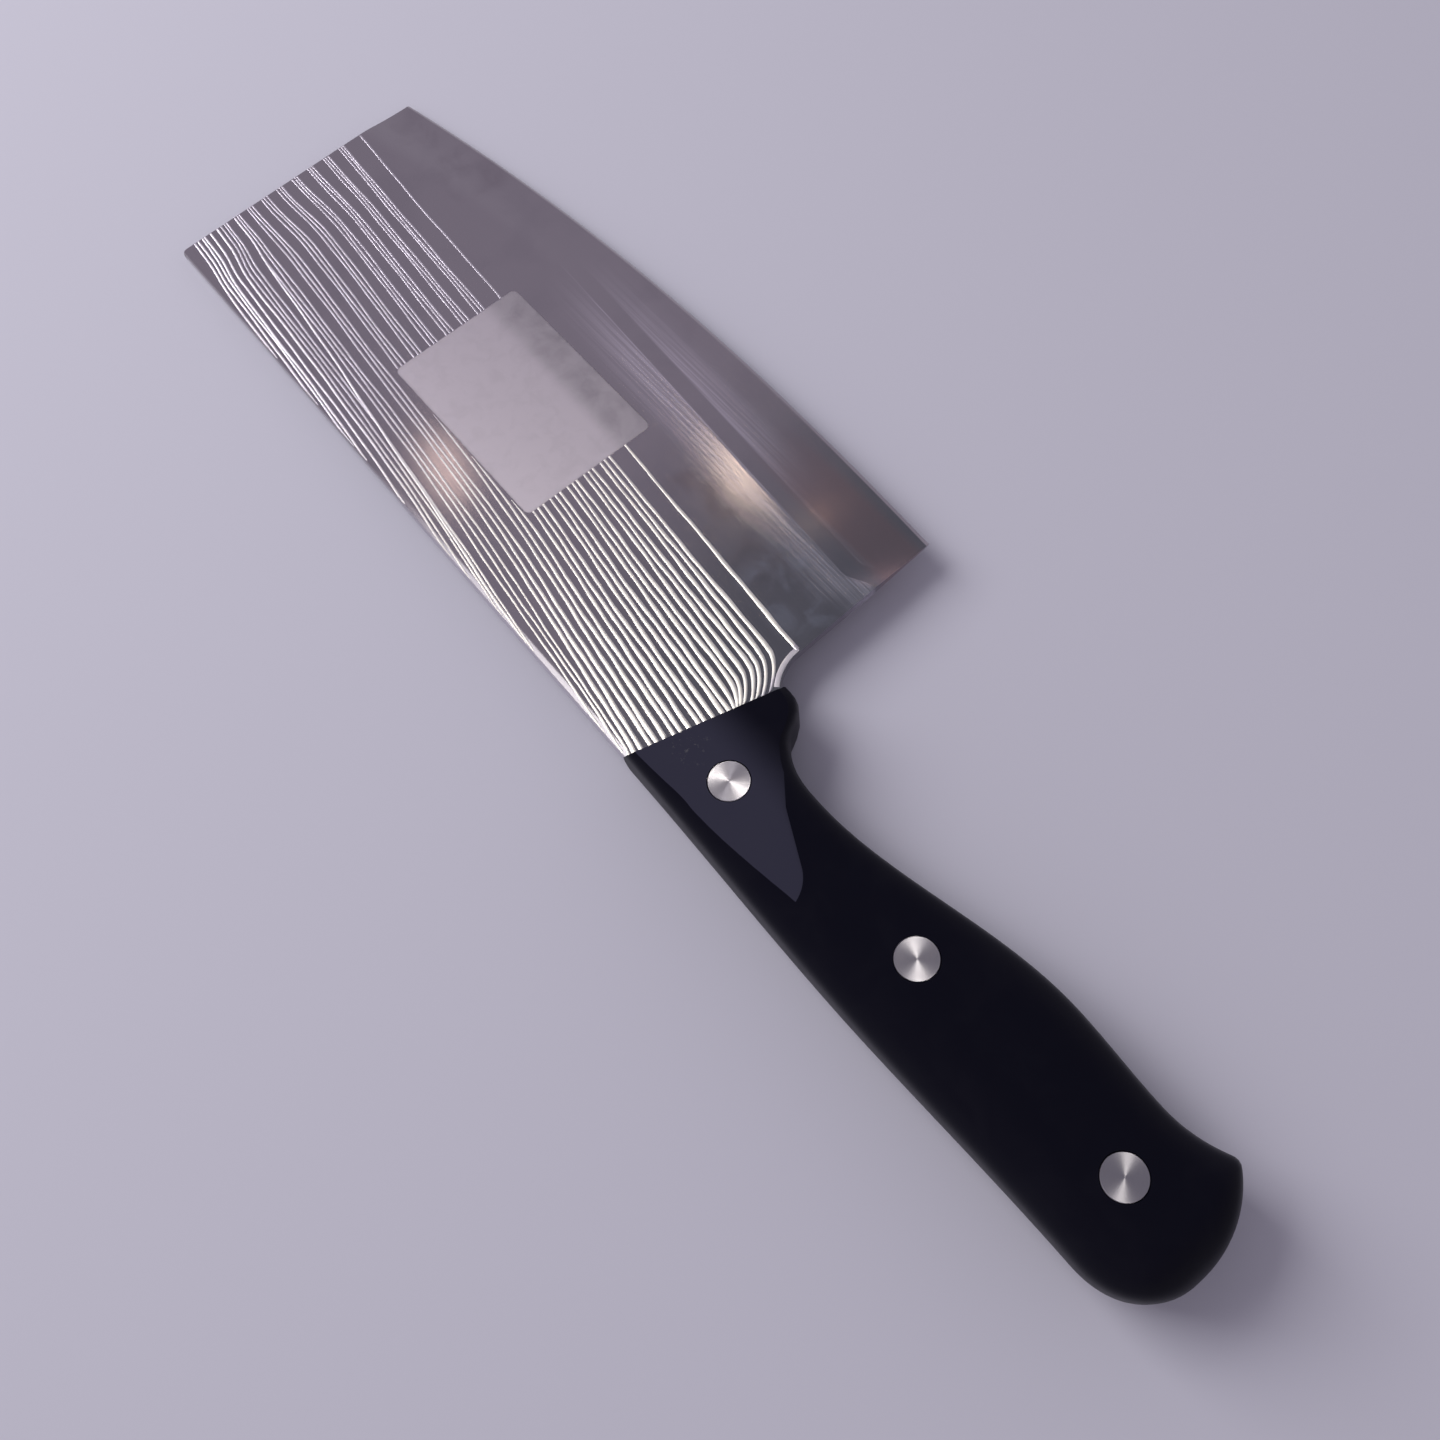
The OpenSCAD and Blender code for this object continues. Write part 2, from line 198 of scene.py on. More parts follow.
def choose(piece: Object, part: Part, test: Callable[[object], bool]) -> int:
    """Selects what passes a test in a piece that is open in edit mode, and nothing else.

    Args:
        piece: The piece in edit mode.
        part: Whether points, edges or faces are tested.
        test: Tells whether one of them is wanted.

    Returns:
        How many were selected.
    """
    bpy.ops.mesh.select_mode(type=part.value)
    bpy.ops.mesh.select_all(action="DESELECT")
    mesh = bmesh.from_edit_mesh(piece.data)
    stock = {Part.POINTS: mesh.verts, Part.EDGES: mesh.edges, Part.FACES: mesh.faces}[part]
    wanted = [item for item in stock if test(item)]
    for item in wanted:
        item.select_set(True)
    mesh.select_flush_mode()
    bmesh.update_edit_mesh(piece.data, loop_triangles=False, destructive=False)
    return len(wanted)


def extrude(move: Vector) -> None:
    """Extrudes what is selected, by a move in metres."""
    bpy.ops.mesh.extrude_region_move(TRANSFORM_OT_translate={"value": tuple(move)})


def slide(move: Vector) -> None:
    """Moves what is selected, by a move in metres."""
    bpy.ops.transform.translate(value=tuple(move))


def stretch(factors: tuple[float, float, float], centre: Vector) -> None:
    """Scales what is selected along each axis, about a point in metres."""
    bpy.ops.transform.resize(value=factors, center_override=tuple(centre))


def trim(piece: Object, point: Vector, outward: Vector) -> None:
    """Cuts off all of a piece that lies beyond a plane, and closes the cut."""
    with editing(piece):
        bpy.ops.mesh.bisect(plane_co=point, plane_no=outward, use_fill=True, clear_outer=True)


def face_out() -> None:
    """Turns every face of what is open in edit mode outwards."""
    bpy.ops.mesh.select_all(action="SELECT")
    bpy.ops.mesh.normals_make_consistent(inside=False)


def raise_solid(height: float) -> None:
    """Extrudes all that is open in edit mode along z, into a closed solid.

    Args:
        height: How far.
    """
    bpy.ops.mesh.select_all(action="SELECT")
    extrude(Vector((0, 0, height)) * MM)
    face_out()


def tidy(piece: Object, merge: float = 0.0005 * MM) -> None:
    """Merges doubled points and turns every face outwards.

    Args:
        piece: The piece to tidy.
        merge: Distance under which points are one.
    """
    with editing(piece):
        bpy.ops.mesh.remove_doubles(threshold=merge)
        face_out()


def work_in(piece: Object, other: Object, cut: Cut) -> None:
    """Cuts a second solid out of a first one, or adds it, and takes the second one away.

    Args:
        piece: The solid that stays.
        other: The solid that is used up.
        cut: What is done with it.
    """
    pick(piece)
    step = piece.modifiers.new(other.name, "BOOLEAN")
    step.object = other
    step.operation = cut.value
    step.solver = "EXACT"
    bpy.ops.object.modifier_apply(modifier=step.name)
    bpy.data.objects.remove(other)


def mirrored(piece: Object, name: str, middle: Vector) -> Object:
    """Copies a piece to the other side of the knife's middle plane.

    Args:
        piece: The piece on the right side.
        name: Name of the copy.
        middle: A point of the middle plane.

    Returns:
        The copy, with its own mesh.
    """
    pick(piece)
    bpy.ops.object.duplicate()
    copy = bpy.context.object
    copy.name = name
    copy.data.name = name
    with editing(copy):
        stretch((1, 1, -1), middle)
        face_out()
    return copy


def joined(pieces: list[Object], name: str) -> Object:
    """Joins several pieces into one.

    Args:
        pieces: The pieces, of which the first one stays.
        name: Name of the whole.

    Returns:
        The joined piece.
    """
    pick(pieces[0])
    for piece in pieces:
        piece.select_set(True)
    bpy.ops.object.join()
    pieces[0].name = name
    pieces[0].data.name = name
    return pieces[0]


def disc(
    name: str, sides: int, radius: float, middle: Vector, turn: Spot = (0, 0, 0), filled: bool = True
) -> Object:
    """Adds a disc, or a bare ring of points.

    Args:
        name: Name of the piece.
        sides: Number of its sides.
        radius: Its radius.
        middle: Its middle, in metres.
        turn: How it is turned out of the plane of the knife.
        filled: Whether it has a face.

    Returns:
        The piece.
    """
    fill = "NGON" if filled else "NOTHING"
    bpy.ops.mesh.primitive_circle_add(
        vertices=sides, radius=radius * MM, fill_type=fill, location=middle, rotation=turn
    )
    return started(name)


def round_bar(name: str, radius: float, low: Vector, length: float, sides: int) -> Object:
    """Makes a round bar that stands along z, from a disc that is extruded.

    Args:
        name: Name of the bar.
        radius: Its radius.
        low: Middle of its lower end, in metres.
        length: Its length.
        sides: Number of its sides.

    Returns:
        The bar.
    """
    bar = disc(name, sides, radius, low)
    with editing(bar):
        raise_solid(length)
    return bar


@dataclass(frozen=True)
class KnifeFrame:
    """The knife's own frame, as it lies in the row frame."""

    origin: Vector

    @classmethod
    def of_blade(cls, tip_reach: float) -> "KnifeFrame":
        """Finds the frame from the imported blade."""
        low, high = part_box("blade")
        return cls(Vector((low.x + tip_reach * MM, low.y, (low.z + high.z) / 2)))

    def at(self, x: float, y: float, z: float = 0.0) -> Vector:
        """Gives a point of the knife in metres, in the row frame."""
        return self.origin + Vector((x, y, z)) * MM


@dataclass(frozen=True)
class Noise:
    """The settings of a noise: its scale, its number of finer layers and how strong they are."""

    scale: float
    detail: float
    rough: float = 0.5


@dataclass(frozen=True)
class Cloud:
    """Soft stains, as fingers and drops leave: how small they are and how strong."""

    scale: float
    amount: float


@dataclass(frozen=True)
class Window:
    """A field of the surface: its middle, half its size, how soft its sides and how round its corners are."""

    middle: Spot
    half: Spot
    soft: float
    rounding: float = 0.0


class Wiring:
    """Adds nodes to a shader tree and links them."""

    def __init__(self, tree: NodeTree) -> None:
        """Takes the tree to work on."""
        self.tree = tree

    def feed(self, node: Node, inputs: dict) -> None:
        """Sets inputs of a node, or links them.

        Args:
            node: The node.
            inputs: Value or linked socket for each input, by name or number.
        """
        for key, value in inputs.items():
            if isinstance(value, NodeSocket):
                self.tree.links.new(value, node.inputs[key])
            else:
                node.inputs[key].default_value = value

    def node(self, kind: str, inputs: dict | None = None, **settings: object) -> Node:
        """Adds a node.

        Args:
            kind: The node's type.
            inputs: Value or linked socket for each input, by name or number.
            settings: Properties of the node.

        Returns:
            The node.
        """
        made = self.tree.nodes.new(kind)
        for name, value in settings.items():
            setattr(made, name, value)
        self.feed(made, inputs or {})
        return made

    def math(self, operation: str, *values: object, clamp: bool = False) -> NodeSocket:
        """Adds a Math node."""
        inputs = dict(enumerate(values))
        return self.node("ShaderNodeMath", inputs, operation=operation, use_clamp=clamp).outputs[0]

    def times(self, product: NodeSocket, *factors: object) -> NodeSocket:
        """Multiplies values.

        Args:
            product: The first value.
            factors: The further ones.

        Returns:
            Their product.
        """
        for factor in factors:
            product = self.math("MULTIPLY", product, factor)
        return product

    def vector(self, operation: str, *values: object) -> NodeSocket:
        """Adds a Vector Math node and gives its output."""
        made = self.node("ShaderNodeVectorMath", dict(enumerate(values)), operation=operation)
        return made.outputs["Vector"]

    def split(self, vector: object) -> bpy.types.bpy_prop_collection:
        """Splits places into x, y and z."""
        return self.node("ShaderNodeSeparateXYZ", {0: vector}).outputs

    def ramp(
        self, value: object, low: float, high: float, start: float = 0.0, end: float = 1.0
    ) -> NodeSocket:
        """Adds a Map Range node with a smooth rise."""
        inputs = {"Value": value, "From Min": low, "From Max": high, "To Min": start, "To Max": end}
        return self.node("ShaderNodeMapRange", inputs, interpolation_type="SMOOTHSTEP").outputs[0]

    def blend(self, share: object, first: object, second: object) -> NodeSocket:
        """Adds a node that mixes two colours."""
        made = self.node("ShaderNodeMix", {0: share, 6: first, 7: second}, data_type="RGBA")
        return made.outputs[2]

    def mapped(self, vector: object, scale: Spot, turn: float = 0.0) -> NodeSocket:
        """Scales places along each axis and turns them about z."""
        inputs = {"Vector": vector, "Scale": scale, "Rotation": (0.0, 0.0, turn)}
        return self.node("ShaderNodeMapping", inputs).outputs[0]

    def noise(self, vector: object, kind: Noise) -> NodeSocket:
        """Adds a noise of three dimensions."""
        inputs = {"Vector": vector, "Scale": kind.scale, "Detail": kind.detail, "Roughness": kind.rough}
        return self.node("ShaderNodeTexNoise", inputs).outputs[0]

    def bump(self, height: object, strength: object) -> NodeSocket:
        """Turns a height from 0 to 1 into a normal."""
        inputs = {"Height": height, "Strength": strength, "Distance": BUMP_HEIGHT * MM}
        return self.node("ShaderNodeBump", inputs).outputs[0]


def new_group(name: str, inputs: dict[str, str], outputs: dict[str, str]) -> tuple[Wiring, Node]:
    """Starts a shader node group.

    Args:
        name: Name of the group.
        inputs: Socket type of each input, by name.
        outputs: Socket type of each output, by name.

    Returns:
        The group's wiring and the node that holds its inputs.
    """
    tree = bpy.data.node_groups.new(name, "ShaderNodeTree")
    for label, kind in inputs.items():
        tree.interface.new_socket(label, in_out="INPUT", socket_type=kind)
    for label, kind in outputs.items():
        tree.interface.new_socket(label, in_out="OUTPUT", socket_type=kind)
    wire = Wiring(tree)
    return wire, wire.node("NodeGroupInput")


def new_material(name: str) -> tuple[Material, Wiring, Node]:
    """Starts a material.

    Args:
        name: Its name.

    Returns:
        The material, its wiring and its shader.
    """
    material = bpy.data.materials.new(name)
    material.use_nodes = True
    wire = Wiring(material.node_tree)
    return material, wire, next(n for n in wire.tree.nodes if n.type == "BSDF_PRINCIPLED")


@dataclass
class Effects:
    """The effects that several finishes share, each a node group that is built once."""

    long_streaks: Spot = (0.06, 5.0, 1.0)
    short_streaks: Spot = (0.4, 14.0, 1.0)
    long_noise: Noise = Noise(1.0, 3.0, 0.6)
    short_noise: Noise = Noise(1.0, 2.0, 0.6)
    long_share: float = 0.6
    short_share: float = 0.4
    cloud_detail: float = 4.0
    cloud_warp: float = 0.6
    cloud_range: Point = (0.42, 0.72)

    def __post_init__(self) -> None:
        """Builds every group."""
        self.brushing = self.build_brushing()
        self.window = self.build_window()
        self.clouds = self.build_clouds()

    def build_brushing(self) -> NodeTree:
        """Builds the streaks that a belt leaves on steel.

        Returns:
            A group that turns places into a streak value and a normal.
        """
        inputs = {"Place": VECTOR, "Angle": VALUE, "Depth": VALUE}
        wire, given = new_group("brushing", inputs, {"Streak": VALUE, "Normal": VECTOR})
        turn = wire.node("ShaderNodeCombineXYZ", {"Z": given.outputs["Angle"]})
        turned = {"Vector": given.outputs["Place"], "Rotation": turn.outputs[0]}
        laid = wire.node("ShaderNodeMapping", turned).outputs[0]
        coarse = wire.noise(wire.mapped(laid, self.long_streaks), self.long_noise)
        fine = wire.noise(wire.mapped(laid, self.short_streaks), self.short_noise)
        streak = wire.math("ADD", wire.times(coarse, self.long_share), wire.times(fine, self.short_share))
        normal = wire.bump(streak, given.outputs["Depth"])
        wire.node("NodeGroupOutput", {"Streak": streak, "Normal": normal})
        return wire.tree

    def build_window(self) -> NodeTree:
        """Builds the mask of a box with soft sides and round corners.

        Returns:
            A group that gives 1 inside the box and 0 outside.
        """
        inputs = {"Place": VECTOR, "Middle": VECTOR, "Half": VECTOR, "Soft": VALUE, "Round": VALUE}
        wire, given = new_group("soft_window", inputs, {"Mask": VALUE})
        off = wire.vector("SUBTRACT", given.outputs["Place"], given.outputs["Middle"])
        room = wire.split(wire.vector("SUBTRACT", given.outputs["Half"], wire.vector("ABSOLUTE", off)))
        reach = wire.math("MULTIPLY_ADD", given.outputs["Soft"], 0.5, given.outputs["Round"])
        past_x = wire.math("MAXIMUM", wire.math("SUBTRACT", reach, room[0]), 0.0)
        past_y = wire.math("MAXIMUM", wire.math("SUBTRACT", reach, room[1]), 0.0)
        squares = wire.math("MULTIPLY_ADD", past_x, past_x, wire.math("POWER", past_y, 2.0))
        inner = wire.math("SUBTRACT", reach, wire.math("POWER", squares, 0.5))
        share = wire.math("DIVIDE", wire.math("MINIMUM", inner, room[2]), given.outputs["Soft"])
        wire.node("NodeGroupOutput", {"Mask": wire.math("ADD", share, 0.5, clamp=True)})
        return wire.tree

    def build_clouds(self) -> NodeTree:
        """Builds soft stains, as fingers and drops leave.

        Returns:
            A group that gives a mask from 0 to 1.
        """
        inputs = {"Place": VECTOR, "Scale": VALUE, "Amount": VALUE}
        wire, given = new_group("clouds", inputs, {"Mask": VALUE})
        look = {"Vector": given.outputs["Place"], "Scale": given.outputs["Scale"]}
        look |= {"Detail": self.cloud_detail, "Distortion": self.cloud_warp}
        shaped = wire.ramp(wire.node("ShaderNodeTexNoise", look).outputs[0], *self.cloud_range)
        wire.node("NodeGroupOutput", {"Mask": wire.times(shaped, given.outputs["Amount"])})
        return wire.tree


@dataclass(frozen=True)
class Finish:
    """What every finish has: the knife's frame, the shared effects and a name."""

    knife: KnifeFrame
    effects: Effects
    name: str


class Surface(Wiring):
    """The wiring of one finish, with its shader and the place of a surface point in knife millimetres."""

    def __init__(self, finish: Finish) -> None:
        """Starts the finish's material."""
        self.material, wire, self.shader = new_material(finish.name)
        super().__init__(wire.tree)
        self.effects = finish.effects
        where = self.node("ShaderNodeTexCoord").outputs["Object"]
        inputs = {"Vector": where, "Location": -finish.knife.origin / MM, "Scale": (1 / MM, 1 / MM, 1 / MM)}
        self.place = self.node("ShaderNodeMapping", inputs).outputs[0]
        self.x, self.y, _ = self.split(self.place)

    def brushed(self, angle: float, depth: float) -> Node:
        """Lays the streaks that a belt leaves."""
        inputs = {"Place": self.place, "Angle": angle, "Depth": depth}
        return self.node("ShaderNodeGroup", inputs, node_tree=self.effects.brushing)

    def field(self, window: Window, place: NodeSocket | None = None) -> NodeSocket:
        """Masks a field of the surface.

        Args:
            window: The field.
            place: Where it is read, if not at the surface point.

        Returns:
            The mask.
        """
        inputs = {"Place": place or self.place, "Middle": window.middle, "Half": window.half}
        inputs |= {"Soft": window.soft, "Round": window.rounding}
        return self.node("ShaderNodeGroup", inputs, node_tree=self.effects.window).outputs[0]

    def stains(self, cloud: Cloud) -> NodeSocket:
        """Masks soft stains of a kind."""
        inputs = {"Place": self.place, "Scale": cloud.scale, "Amount": cloud.amount}
        return self.node("ShaderNodeGroup", inputs, node_tree=self.effects.clouds).outputs[0]

    def finished(self, looks: dict) -> Material:
        """Feeds the shader."""
        self.feed(self.shader, looks)
        return self.material


@dataclass(frozen=True)
class Strip:
    """A strip of painted highlight along the grind: its line, how far before it the strip rises, and where it
    fades.
    """

    top: float
    fall: float
    rise: Point
    fade: Point


@dataclass(frozen=True)
class Mark:
    """Blots that fingers or drops left: where they lie, what they are like and their tone."""

    field: Window
    stains: Cloud
    tone: Colour


@dataclass(frozen=True)
class BladeSteel(Finish):
    """Satin ground steel with a bare frosted field on the right side."""

    ground_tone: Colour = (0.50, 0.475, 0.50, 1.0)
    stain_tone: Colour = (0.43, 0.41, 0.44, 1.0)
    ground_stains: Cloud = Cloud(0.07, 0.45)
    roughness: float = 0.11
    grain_angle: float = math.radians(3)
    grain_depth: float = 0.12
    grain_range: Point = (0.3, 0.7)
    grain_roughness: Point = (-0.03, 0.04)
    # Painted highlights: a lighter tone in strips along the grind's ridge and a hairline on it, where the
    # steel would shine in the light.
    highlight_band_tone: Colour = (0.92, 0.89, 0.94, 1.0)
    highlight_roughness: float = 0.08
    highlight_late: Point = (62.0, 108.0)
    ridge_highlight: Strip = Strip(66.2, 0.052, (10.0, 1.5), (0.9, 0.3))
    hollow_highlight: Strip = Strip(69.7, 0.046, (0.6, 0.0), (0.0, 8.0))
    hollow_highlight_share: float = 0.7
    hair_highlight: Strip = Strip(66.0, 0.052, (0.3, 0.05), (0.05, 0.3))
    hair_highlight_late: Point = (60.0, 90.0)
    curl_late: Point = (164.0, 171.0)
    curl_depth: float = 3.0
    comb_scale: Spot = (0.02, 1.5, 1.0)
    comb_noise: Noise = Noise(1.0, 3.0, 0.65)
    comb_range: Point = (0.38, 0.6)
    comb_least: float = 0.45
    lift_least: float = 0.3
    # Painted warm reflection: a warm tint along the cutting edge at the heel.
    warm_reflection_tone: Colour = (0.575, 0.455, 0.465, 1.0)
    warm_reflection_late: Point = (125.0, 150.0)
    warm_reflection_depth: Point = (60.5, 64.0)
    warm_reflection_end: Point = (71.5, 74.5)
    blots: tuple[Mark, ...] = (
        Mark(Window((161.0, 47.5, 1.2), (9.0, 6.5, 0.6), 6.0), Cloud(0.16, 0.8), (0.85, 0.86, 0.95, 1.0)),
        Mark(Window((17.0, 63.5, 1.2), (16.0, 5.5, 0.6), 6.0), Cloud(0.11, 1.0), (0.36, 0.33, 0.36, 1.0)),
        Mark(Window((140.0, 47.0, 1.2), (15.0, 4.0, 0.6), 6.0), Cloud(0.13, 1.0), (0.37, 0.33, 0.34, 1.0)),
    )
    # Painted highlight along the spine's rear half, which is also made rougher.
    spine_highlight_tone: Colour = (0.66, 0.64, 0.69, 1.0)
    spine_highlight_roughness: float = 0.42
    spine_highlight_depth: Point = (0.9, 1.7)
    spine_highlight_late: Point = (75.0, 115.0)
    frosted_tone: Colour = (0.55, 0.51, 0.565, 1.0)
    frosted_roughness: float = 0.5
    frosted_field: Window = Window((86.3, 34.5, 1.2), (24.6, 16.3, 0.6), 0.5, 1.2)
    rag: float = 0.3
    rag_noise: Noise = Noise(0.9, 4.0)
    smeared_tone: Colour = (0.29, 0.27, 0.305, 1.0)
    smear_top: Point = (41.0, 46.0)
    smear_least: float = 0.5
    smear_gain: float = 0.35
    smear_stains: Cloud = Cloud(0.09, 1.0)
    faint_stains: Cloud = Cloud(0.3, 0.12)

    def strip(self, wire: Surface, shape: Strip, late: Point) -> NodeSocket:
        """Masks a strip of painted highlight that runs along the grind.

        Args:
            wire: Wiring of the finish.
            shape: Where the strip lies and how soft its sides are.
            late: Where along the blade it starts, and where it is at its full strength.

        Returns:
            The mask.
        """
        off = wire.math("MULTIPLY_ADD", wire.x, shape.fall, wire.y)
        off = wire.math("SUBTRACT", off, wire.ramp(wire.x, *self.curl_late, 0.0, self.curl_depth))
        rise = wire.ramp(off, shape.top - shape.rise[0], shape.top - shape.rise[1])
        fade = wire.ramp(off, shape.top - shape.fade[0], shape.top + shape.fade[1], 1.0, 0.0)
        return wire.times(rise, fade, wire.ramp(wire.x, *late))

    def painted_highlights(self, wire: Surface) -> tuple[NodeSocket, NodeSocket]:
        """Masks the painted highlights: brighter strips on both sides of the grind's ridge, where the steel
        would shine in the light.

        Args:
            wire: Wiring of the finish.

        Returns:
            The mask of the broad painted highlight, and that of all the painted strips.
        """
        broad_highlight = self.strip(wire, self.ridge_highlight, self.highlight_late)
        hollow = wire.times(self.strip(wire, self.hollow_highlight, self.highlight_late), self.hollow_highlight_share)
        hair = self.strip(wire, self.hair_highlight, self.hair_highlight_late)
        return broad_highlight, wire.math("MAXIMUM", broad_highlight, wire.math("MAXIMUM", hollow, hair))

    def rim(self, wire: Surface) -> NodeSocket:
        """Masks the painted highlight along the spine's rear half, where the eased rim would mirror the
        light.
        """
        return wire.times(wire.ramp(wire.y, *self.spine_highlight_depth, 1.0, 0.0), wire.ramp(wire.x, *self.spine_highlight_late))

    def reflection_and_blots(self, wire: Surface, tone: NodeSocket) -> NodeSocket:
        """Lays a painted warm reflection along the edge at the heel over the steel, and the blots that
        fingers leave.

        Args:
            wire: Wiring of the finish.
            tone: Tone of the steel under them.

        Returns:
            The tone with the painted warm reflection and the blots.
        """
        # Painted warm reflection along the edge at the heel.
        late = wire.ramp(wire.x, *self.warm_reflection_late)
        deep = wire.ramp(wire.y, *self.warm_reflection_depth)
        warm_reflection = wire.times(late, deep, wire.ramp(wire.y, *self.warm_reflection_end, 1.0, 0.0))
        tone = wire.blend(warm_reflection, tone, self.warm_reflection_tone)
        for mark in self.blots:
            share = wire.times(wire.field(mark.field), wire.stains(mark.stains))
            tone = wire.blend(share, tone, mark.tone)
        return tone

    def frosted(self, wire: Surface) -> tuple[NodeSocket, NodeSocket]:
        """Masks the frosted field and lays its tone, smeared towards the cutting edge.

        Args:
            wire: Wiring of the finish.

        Returns:
            The mask and the tone.
        """
        rag = wire.noise(wire.place, self.rag_noise)
        ragged = wire.vector("MULTIPLY_ADD", rag, (self.rag,) * 3, wire.place)
        middle = tuple(v + self.rag / 2 for v in self.frosted_field.middle)
        mask = wire.field(replace(self.frosted_field, middle=middle), ragged)
        deep = wire.ramp(wire.y, *self.smear_top)
        blots = wire.stains(self.smear_stains)
        strength = wire.math("MULTIPLY_ADD", blots, self.smear_gain, self.smear_least)
        smear = wire.math("MULTIPLY_ADD", deep, strength, wire.stains(self.faint_stains), clamp=True)
        return mask, wire.blend(smear, self.frosted_tone, self.smeared_tone)

    def make(self) -> Material:
        """Builds the material.

        Returns:
            The material.
        """
        wire = Surface(self)
        brushed = wire.brushed(self.grain_angle, self.grain_depth)
        tone = wire.blend(wire.stains(self.ground_stains), self.ground_tone, self.stain_tone)
        # Painted highlights along the grind's ridge, streaked by a comb-like noise.
        broad_highlight, painted_highlights = self.painted_highlights(wire)
        comb = wire.noise(wire.mapped(wire.place, self.comb_scale, self.grain_angle), self.comb_noise)
        shine = wire.times(painted_highlights, wire.ramp(comb, *self.comb_range, self.comb_least))
        tone = wire.blend(shine, tone, self.highlight_band_tone)
        tone = self.reflection_and_blots(wire, tone)
        # Painted highlight along the spine's rear half.
        painted_sheen = self.rim(wire)
        tone = wire.blend(painted_sheen, tone, self.spine_highlight_tone)
        frosted, frost_tone = self.frosted(wire)
        tone = wire.blend(frosted, tone, frost_tone)
        smooth, coarse = (self.roughness + change for change in self.grain_roughness)
        rough = wire.ramp(brushed.outputs["Streak"], *self.grain_range, smooth, coarse)
        lifted = wire.times(broad_highlight, wire.ramp(comb, *self.comb_range, self.lift_least))
        rough = wire.math("MULTIPLY_ADD", lifted, self.highlight_roughness, rough)
        rough = wire.math("MULTIPLY_ADD", painted_sheen, self.spine_highlight_roughness - self.roughness, rough)
        gap = wire.math("SUBTRACT", self.frosted_roughness, rough)
        rough = wire.math("MULTIPLY_ADD", gap, frosted, rough)
        normal = brushed.outputs["Normal"]
        return wire.finished({"Base Color": tone, "Roughness": rough, "Normal": normal, "Metallic": 1.0})


@dataclass(frozen=True)
class LineSteel(Finish):
    """Brighter steel on the crowns of the pattern's lines, with a painted highlight that brightens them
    towards the heel.
    """

    # The lines' tone rises from the tip to a painted highlight at the heel, where they would catch the light.
    tip_tone: Colour = (0.62, 0.59, 0.65, 1.0)
    heel_highlight_tone: Colour = (0.92, 0.90, 0.85, 1.0)
    turn: Point = (60.0, 110.0)
    roughness: float = 0.42
    grain_scale: Spot = (0.12, 0.6, 1.0)
    grain_noise: Noise = Noise(1.0, 3.0, 0.55)
    grain_range: Point = (0.35, 0.65)
    grain_share: float = 0.03
    grain_roughness: float = 0.04
    rim_rise: float = 0.35
    rim: Point = (183.4, 184.6)
    rim_share: float = -0.2

    def make(self) -> Material:
        """Builds the material.

        Returns:
            The material.
        """
        wire = Surface(self)
        grain = wire.noise(wire.mapped(wire.place, self.grain_scale), self.grain_noise)
        past = wire.math("MULTIPLY_ADD", wire.y, self.rim_rise, wire.x)
        late = wire.times(wire.ramp(wire.x, *self.turn), wire.ramp(past, *self.rim, 1.0, self.rim_share))
        uneven = wire.ramp(grain, *self.grain_range, -self.grain_share, self.grain_share)
        tone = wire.blend(wire.math("ADD", late, uneven, clamp=True), self.tip_tone, self.heel_highlight_tone)
        smooth, coarse = self.roughness - self.grain_roughness, self.roughness + self.grain_roughness
        rough = wire.ramp(grain, *self.grain_range, smooth, coarse)
        return wire.finished({"Base Color": tone, "Roughness": rough, "Metallic": 1.0})


@dataclass(frozen=True)
class TurnedSteel(Finish):
    """Steel turned on a lathe, whose fine rings draw the shine out across them."""

    tone: Colour = (0.54, 0.52, 0.55, 1.0)
    worn_tone: Colour = (0.44, 0.42, 0.45, 1.0)
    wear: Cloud = Cloud(0.4, 0.5)
    roughness: float = 0.4
    wear_roughness: Point = (-0.02, 0.04)
    turned: float = 0.85

    def make(self) -> Material:
        """Builds the material.

        Returns:
            The material.
        """
        wire = Surface(self)
        worn = wire.stains(self.wear)
        tone = wire.blend(worn, self.tone, self.worn_tone)
        smooth, coarse = (self.roughness + change for change in self.wear_roughness)
        rough = wire.ramp(worn, 0.0, self.wear.amount, smooth, coarse)
        looks = {"Base Color": tone, "Roughness": rough, "Metallic": 1.0, "Anisotropic": self.turned}
        return wire.finished(looks)


